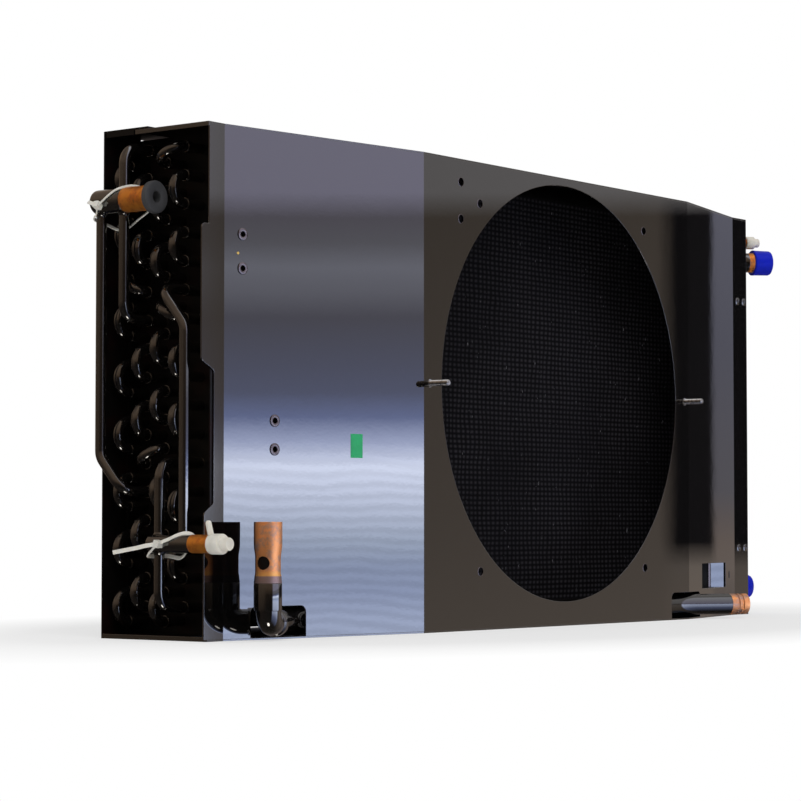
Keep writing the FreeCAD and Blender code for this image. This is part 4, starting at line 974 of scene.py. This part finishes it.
row_of("hole_burrs", BURR_PROFILE,
       [Vector((x, -SHROUD_REACH, z)) for x, z in GUARD_HOLES + LEAD_HOLES], FORWARD, DULL_STEEL,
       "zinc", 32)

SLOPE = Vector((FACE_LEFT - LEFT_FOLD, -SHROUD_REACH, 0)).normalized()
SLOPE_OUT = Vector((SLOPE.y, -SLOPE.x, 0))


def on_left_slope(x, z):
    return Vector((x, -SHROUD_REACH * (x - LEFT_FOLD) / (FACE_LEFT - LEFT_FOLD), z))


def threaded(root, direction, radius, length, pitch):
    """A stud with a helical thread, as points and faces."""
    turn = Vector((0, 0, 1)).rotation_difference(direction)
    segments, per_pitch = 20, 6
    rings = int(length / pitch * per_pitch)
    points = []
    for ring in range(rings + 1):
        distance = length * ring / rings
        for i in range(segments):
            phase = (distance / pitch + i / segments) % 1
            groove = 0.55 * pitch * (1 - abs(2 * phase - 1))
            taper = max(0.0, distance - length + 1.0) * 0.5
            reach = radius - groove - taper
            points.append(round_point(root, turn, reach, math.tau * i / segments, distance))
    faces = ring_faces(rings + 1, segments)
    faces.append(tuple(range(rings * segments, (rings + 1) * segments)))
    return points, faces


def studs():
    parts = []
    for side in (-1, 1):
        root = Vector((FAN_OFFSET + side * STUD_ACROSS, -SHROUD_REACH, FAN_HEIGHT))
        parts.append(threaded(root, FORWARD, 3.0, 22.0, 1.0))
        parts.append(turned([(3.0, 0.05), (3.75, 0.1), (3.8, -1.5), (5.4, -1.6), (5.5, -3.0),
                             (0.02, -3.1)], root, FORWARD))
    built = piece("fan_studs_threaded", *merged(parts), ZINC, "zinc", keep_edges=25)
    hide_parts("fan_studs")


studs()
row_of("rivet_nuts", NUT_PROFILE, [on_left_slope(x, z) for x, z in RIVET_NUTS], SLOPE_OUT,
       DULL_STEEL, "zinc")
row_of("flange_rivets", RIVET_PROFILE, [Vector((x, 0, z)) for x, z in FLANGE_RIVETS], FORWARD,
       PAINT, "black_paint")


def label(name, x, z, wide, high, material, slot):
    """A blank stuck-on label on the left slope."""
    centre = on_left_slope(x, z)
    rows, points, faces = 6, [], []
    for level in (0.02, 0.14):
        for i in range(rows + 1):
            for j in range(rows + 1):
                across = wide * (2 * i / rows - 1)
                up = high * (2 * j / rows - 1)
                points.append(place(*(centre + SLOPE * across + UPWARD * up + SLOPE_OUT * level)))
    row = rows + 1
    top = row * row
    for i in range(rows):
        for j in range(rows):
            a = i * row + j
            faces.append((a, a + 1, a + row + 1, a + row))
            faces.append((top + a, top + a + row, top + a + row + 1, top + a + 1))
    border = ([i * row for i in range(row)] + [rows * row + j for j in range(1, row)]
              + [i * row + rows for i in range(rows - 1, -1, -1)] + list(range(rows - 1, 0, -1)))
    for a, b in zip(border, border[1:] + border[:1]):
        faces.append((a, b, top + b, top + a))
    piece(name, points, faces, material, slot, smooth=False)


label("green_label", 177.7, 172.2, 7.4, 10.9, GREEN, "pale_plastic")
piece("gold_speck", *turned([(1.3, 0.02), (1.2, 0.25), (0.02, 0.3)], on_left_slope(36.4, 337.8),
                            SLOPE_OUT), GOLD, "zinc")


# Cable ties.

def strap(path, across, width, thick):
    """A flat strap through points, as points and faces."""
    points = []
    for i, spot in enumerate(path):
        before, after = path[max(i - 1, 0)], path[min(i + 1, len(path) - 1)]
        heading = (after - before).normalized()
        side = (across - heading * across.dot(heading)).normalized()
        up = heading.cross(side)
        for a, b in ((-1, -1), (1, -1), (1, 1), (-1, 1)):
            points.append(place(*(spot + side * (a * width / 2) + up * (b * thick / 2))))
    last = 4 * (len(path) - 1)
    ends = [(3, 2, 1, 0), (last, last + 1, last + 2, last + 3)]
    return points, ring_faces(len(path), 4) + ends


def curved(points, steps=10):
    """A smooth path through points."""
    ends = [points[0]] + points + [points[-1]]
    path = []
    for a, b, c, d in zip(ends, ends[1:], ends[2:], ends[3:]):
        for i in range(steps):
            t = i / steps
            path.append(0.5 * (2 * b + (c - a) * t + (2 * a - 5 * b + 4 * c - d) * t * t
                               + (3 * b - a - 3 * c + d) * t ** 3))
    path.append(points[-1])
    return path


HEAD_HALF = (3.6, 3.0, 2.8)
STRAP = (3.6, 1.2)


def cable_tie(name, head, turn, loop, across, tail, tail_across):
    """A nylon tie: a loose loop of strap that starts and ends in its head, and a cut tail."""
    side, deep, high = HEAD_HALF
    corners = [place(*(head + turn @ Vector((x, y, z)))) for x in (-side, side)
               for y in (-deep, deep) for z in (-high, high)]
    parts = [(corners, BOX_FACES), strap(curved([head] + loop + [head]), across, *STRAP),
             strap(curved([head] + tail), tail_across, *STRAP)]
    built = soften(piece(name + "_strap", *merged(parts), TIE, "pale_plastic", smooth=False), 0.5)
    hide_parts(name)


def spots(*rows):
    return [Vector(row) for row in rows]


cable_tie("discharge_tie", Vector((-24.6, 109.0, 382.0)), Quaternion((0, 1, 0), 0.5),
          spots((-23.0, 104.5, 386.0), (-22.4, 98.5, 390.2), (-20.2, 93.1, 394.2),
                (-17.3, 88.3, 396.6), (-11.0, 81.0, 398.6), (-4.5, 74.5, 396.6),
                (0.9, 70.0, 388.5), (1.6, 69.0, 382.0), (1.6, 72.5, 376.4), (2.0, 84.0, 370.6),
                (2.2, 96.6, 363.8), (1.2, 105.0, 362.2), (0.0, 112.5, 364.2), (-0.8, 119.0, 367.2),
                (-5.0, 123.6, 369.5), (-11.0, 123.9, 371.0), (-17.0, 120.4, 372.6),
                (-20.0, 114.6, 375.6)),
          Vector((0.72, 0.45, 0.53)),
          spots((-24.6, 115.0, 384.0), (-24.0, 121.0, 386.2)), Vector((0.6, -0.3, 0.74)))
cable_tie("liquid_tie", Vector((-23.2, 36.0, 84.0)), Quaternion((1, 0, 0), 0.35),
          spots((-21.4, 31.0, 86.4), (-20.4, 26.4, 88.0), (-18.8, 21.3, 90.3), (-16.0, 17.0, 92.2),
                (-12.3, 12.6, 93.2), (-8.2, 9.4, 91.6), (-4.4, 9.6, 87.0), (-3.4, 13.5, 81.5),
                (-4.0, 19.6, 77.8), (-4.0, 23.0, 74.2), (-2.6, 29.0, 71.8), (-1.2, 36.0, 72.2),
                (-0.8, 43.0, 73.2), (-1.0, 49.6, 73.5), (-3.6, 55.2, 73.5), (-9.0, 57.4, 73.3),
                (-15.0, 55.6, 74.2), (-20.0, 47.5, 77.5), (-22.4, 41.0, 81.2)),
          Vector((0.6, 0.1, 0.79)),
          spots((-31.2, 42.5, 82.5), (-36.6, 47.9, 80.7), (-44.5, 55.8, 78.5),
                (-51.2, 62.6, 76.6)),
          Vector((0.1, 0.12, 0.99)))


# Room, camera and light.

def floor():
    reach = 12.0
    corners = [(-reach, -reach, 0), (reach, -reach, 0), (reach, reach, 0), (-reach, reach, 0)]
    mesh = mesh_of("floor", corners, [(0, 1, 2, 3)])
    mesh.materials.append(FLOOR)
    built = linked("floor", mesh)
    built.visible_glossy = False


floor()

lens = bpy.data.cameras.new("camera")
lens.lens = 117.26
lens.sensor_width = 36
camera = linked("camera", lens)
camera.location = (-2.177, -1.56375, 0.098)
camera.rotation_euler = (math.radians(92.79), 0, -math.radians(52.40))
bpy.context.scene.camera = camera


def area_light(name, spot, target, wide, high, power):
    data = bpy.data.lights.new(name, "AREA")
    data.shape = "RECTANGLE"
    data.size = wide
    data.size_y = high
    data.energy = power
    light = linked(name, data)
    light.visible_glossy = False
    light.location = spot
    heading = Vector(target) - Vector(spot)
    light.rotation_euler = heading.to_track_quat("-Z", "Y").to_euler()


area_light("key", (-2.5, -2.5, 3.6), (0, 0, 0.2), 2.4, 2.4, 60)
area_light("fill", (3.2, -3.0, 2.6), (0, 0, 0.2), 2.0, 2.0, 30)
area_light("back", (-0.5, 3.5, 3.0), (0, 0, 0.2), 2.4, 1.6, 30)


LOW_ANGLE, HIGH_ANGLE = -90.0, 50.0


def by_height(tree, height, stops):
    """Colours at heights in degrees above the horizon."""
    share = spread(tree, height, LOW_ANGLE, HIGH_ANGLE, 0, 1)
    places = [((angle - LOW_ANGLE) / (HIGH_ANGLE - LOW_ANGLE), colour)
              for angle, colour in stops]
    return ramp(tree, share, places)


# What glossy surfaces see of the room, as colours at heights in degrees, round the horizon.
UNDER = [(-90, (0.03, 0.025, 0.02)), (-60, (0.04, 0.035, 0.03))]
CEILING = [(7.0, (0.40, 0.38, 0.38)), (50, (0.50, 0.48, 0.46))]
BLUE_WINDOW = UNDER + [
    (-30, (0.5, 0.6, 1.0)), (-4, (2.2, 2.5, 3.3)), (-1.9, (1.8, 2.1, 3.0)),
    (-1.1, (1.2, 1.45, 2.25)), (-0.3, (1.8, 2.1, 2.8)), (0.7, (3.0, 3.3, 4.2)),
    (1.6, (3.9, 4.2, 5.2)), (2.0, (0.8, 1.0, 1.9)), (3.0, (0.42, 0.46, 0.72)),
    (4.8, (0.34, 0.33, 0.40)), (5.5, (0.74, 0.76, 0.92)), (6.7, (0.26, 0.24, 0.26)),
    (7.1, (0.78, 0.75, 1.0)), (50, (1.2, 1.2, 1.3)),
]
BROWN_WALL = UNDER + [
    (-4, (0.30, 0.25, 0.21)), (0, (0.23, 0.19, 0.16)), (6.8, (0.17, 0.14, 0.115)),
] + CEILING
DOORWAY = UNDER + [
    (-2, (0.30, 0.24, 0.20)), (-0.68, (0.26, 0.22, 0.19)), (-0.52, (0.012, 0.011, 0.012)),
    (6.8, (0.012, 0.011, 0.012)),
] + CEILING
GREY_WALL = UNDER + [
    (-1.6, (0.17, 0.14, 0.13)), (-1.2, (0.29, 0.24, 0.21)), (0.1, (0.25, 0.20, 0.18)),
    (0.4, (0.19, 0.18, 0.20)), (4, (0.18, 0.18, 0.23)), (6.8, (0.22, 0.22, 0.28)),
] + CEILING
DARK_ROOM = UNDER + [
    (-12, (0.02, 0.018, 0.016)), (4, (0.05, 0.035, 0.025)), (12, (0.22, 0.15, 0.10)),
    (50, (0.40, 0.30, 0.22)),
]
BROWN_ROOM = UNDER + [
    (-20, (0.04, 0.03, 0.025)), (2, (0.14, 0.10, 0.07)), (25, (0.32, 0.23, 0.16)),
    (50, (0.24, 0.18, 0.14)),
]
# Degrees round the horizon over which one part of the room turns into the next.
ROOM = (
    (-60.0, -50.0, GREY_WALL), (5.62, 5.72, DOORWAY), (31.55, 31.95, BROWN_WALL),
    (41.2, 45.2, BLUE_WINDOW), (96.0, 104.0, DARK_ROOM), (150.0, 175.0, BROWN_ROOM),
)
LOW_LAMP = Vector((-0.22, -0.17, -0.96))
DEGREES = 57.2958    # in a radian
RIPPLE_PITCH = 0.24
PLAIN_LIGHT = 0.55


def even_light(tree, strength):
    node = tree.nodes.new("ShaderNodeBackground")
    settings(node, {"Color": (1, 1, 1, 1), "Strength": strength})
    return node.outputs["Background"]


def surroundings():
    """White behind the object; in reflections, a room with a bright window low on one side."""
    world = bpy.data.worlds.new("studio")
    bpy.context.scene.world = world
    world.use_nodes = True
    tree = world.node_tree
    tree.nodes.clear()
    heading = tree.nodes.new("ShaderNodeTexCoord").outputs["Generated"]
    along = axes(tree, heading)
    rise = arithmetic(tree, "ARCSINE", along["Z"])
    height = arithmetic(tree, "MULTIPLY", rise, DEGREES)
    front = arithmetic(tree, "MULTIPLY", along["Y"], -1)
    swing = arithmetic(tree, "ARCTAN2", front, along["X"])
    turn = arithmetic(tree, "MULTIPLY", swing, DEGREES)
    colour = by_height(tree, height, BROWN_ROOM)
    for low, high, stops in ROOM:
        share = spread(tree, turn, low, high, 0, 1)
        colour = blended(tree, share, colour, by_height(tree, height, stops))
    slats = noise(tree, heading, 16, 2)
    ripple = wave(tree, height, RIPPLE_PITCH, slats, 26.0)
    low = arithmetic(tree, "MULTIPLY", spread(tree, height, 0.9, 2.0, 0.16, 0),
                     spread(tree, turn, 44.0, 45.0, 0, 1))
    strength = arithmetic(tree, "SUBTRACT", 1.0, arithmetic(tree, "MULTIPLY", low, ripple))
    facing = tree.nodes.new("ShaderNodeVectorMath")
    facing.operation = "DOT_PRODUCT"
    join(tree, heading, facing.inputs[0])
    facing.inputs[1].default_value = LOW_LAMP.normalized()
    lamp = ramp(tree, facing.outputs["Value"], [(0.988, (0, 0, 0)), (0.994, (9.0, 8.4, 7.6))])
    room = tree.nodes.new("ShaderNodeBackground")
    join(tree, added(tree, colour, lamp), room.inputs["Color"])
    join(tree, strength, room.inputs["Strength"])
    path = tree.nodes.new("ShaderNodeLightPath").outputs
    shown = either_shader(tree, path["Is Glossy Ray"], even_light(tree, PLAIN_LIGHT),
                          room.outputs["Background"])
    final = either_shader(tree, path["Is Camera Ray"], shown, even_light(tree, 1.0))
    join(tree, final, tree.nodes.new("ShaderNodeOutputWorld").inputs["Surface"])


surroundings()
bpy.context.scene.view_settings.view_transform = "Standard"
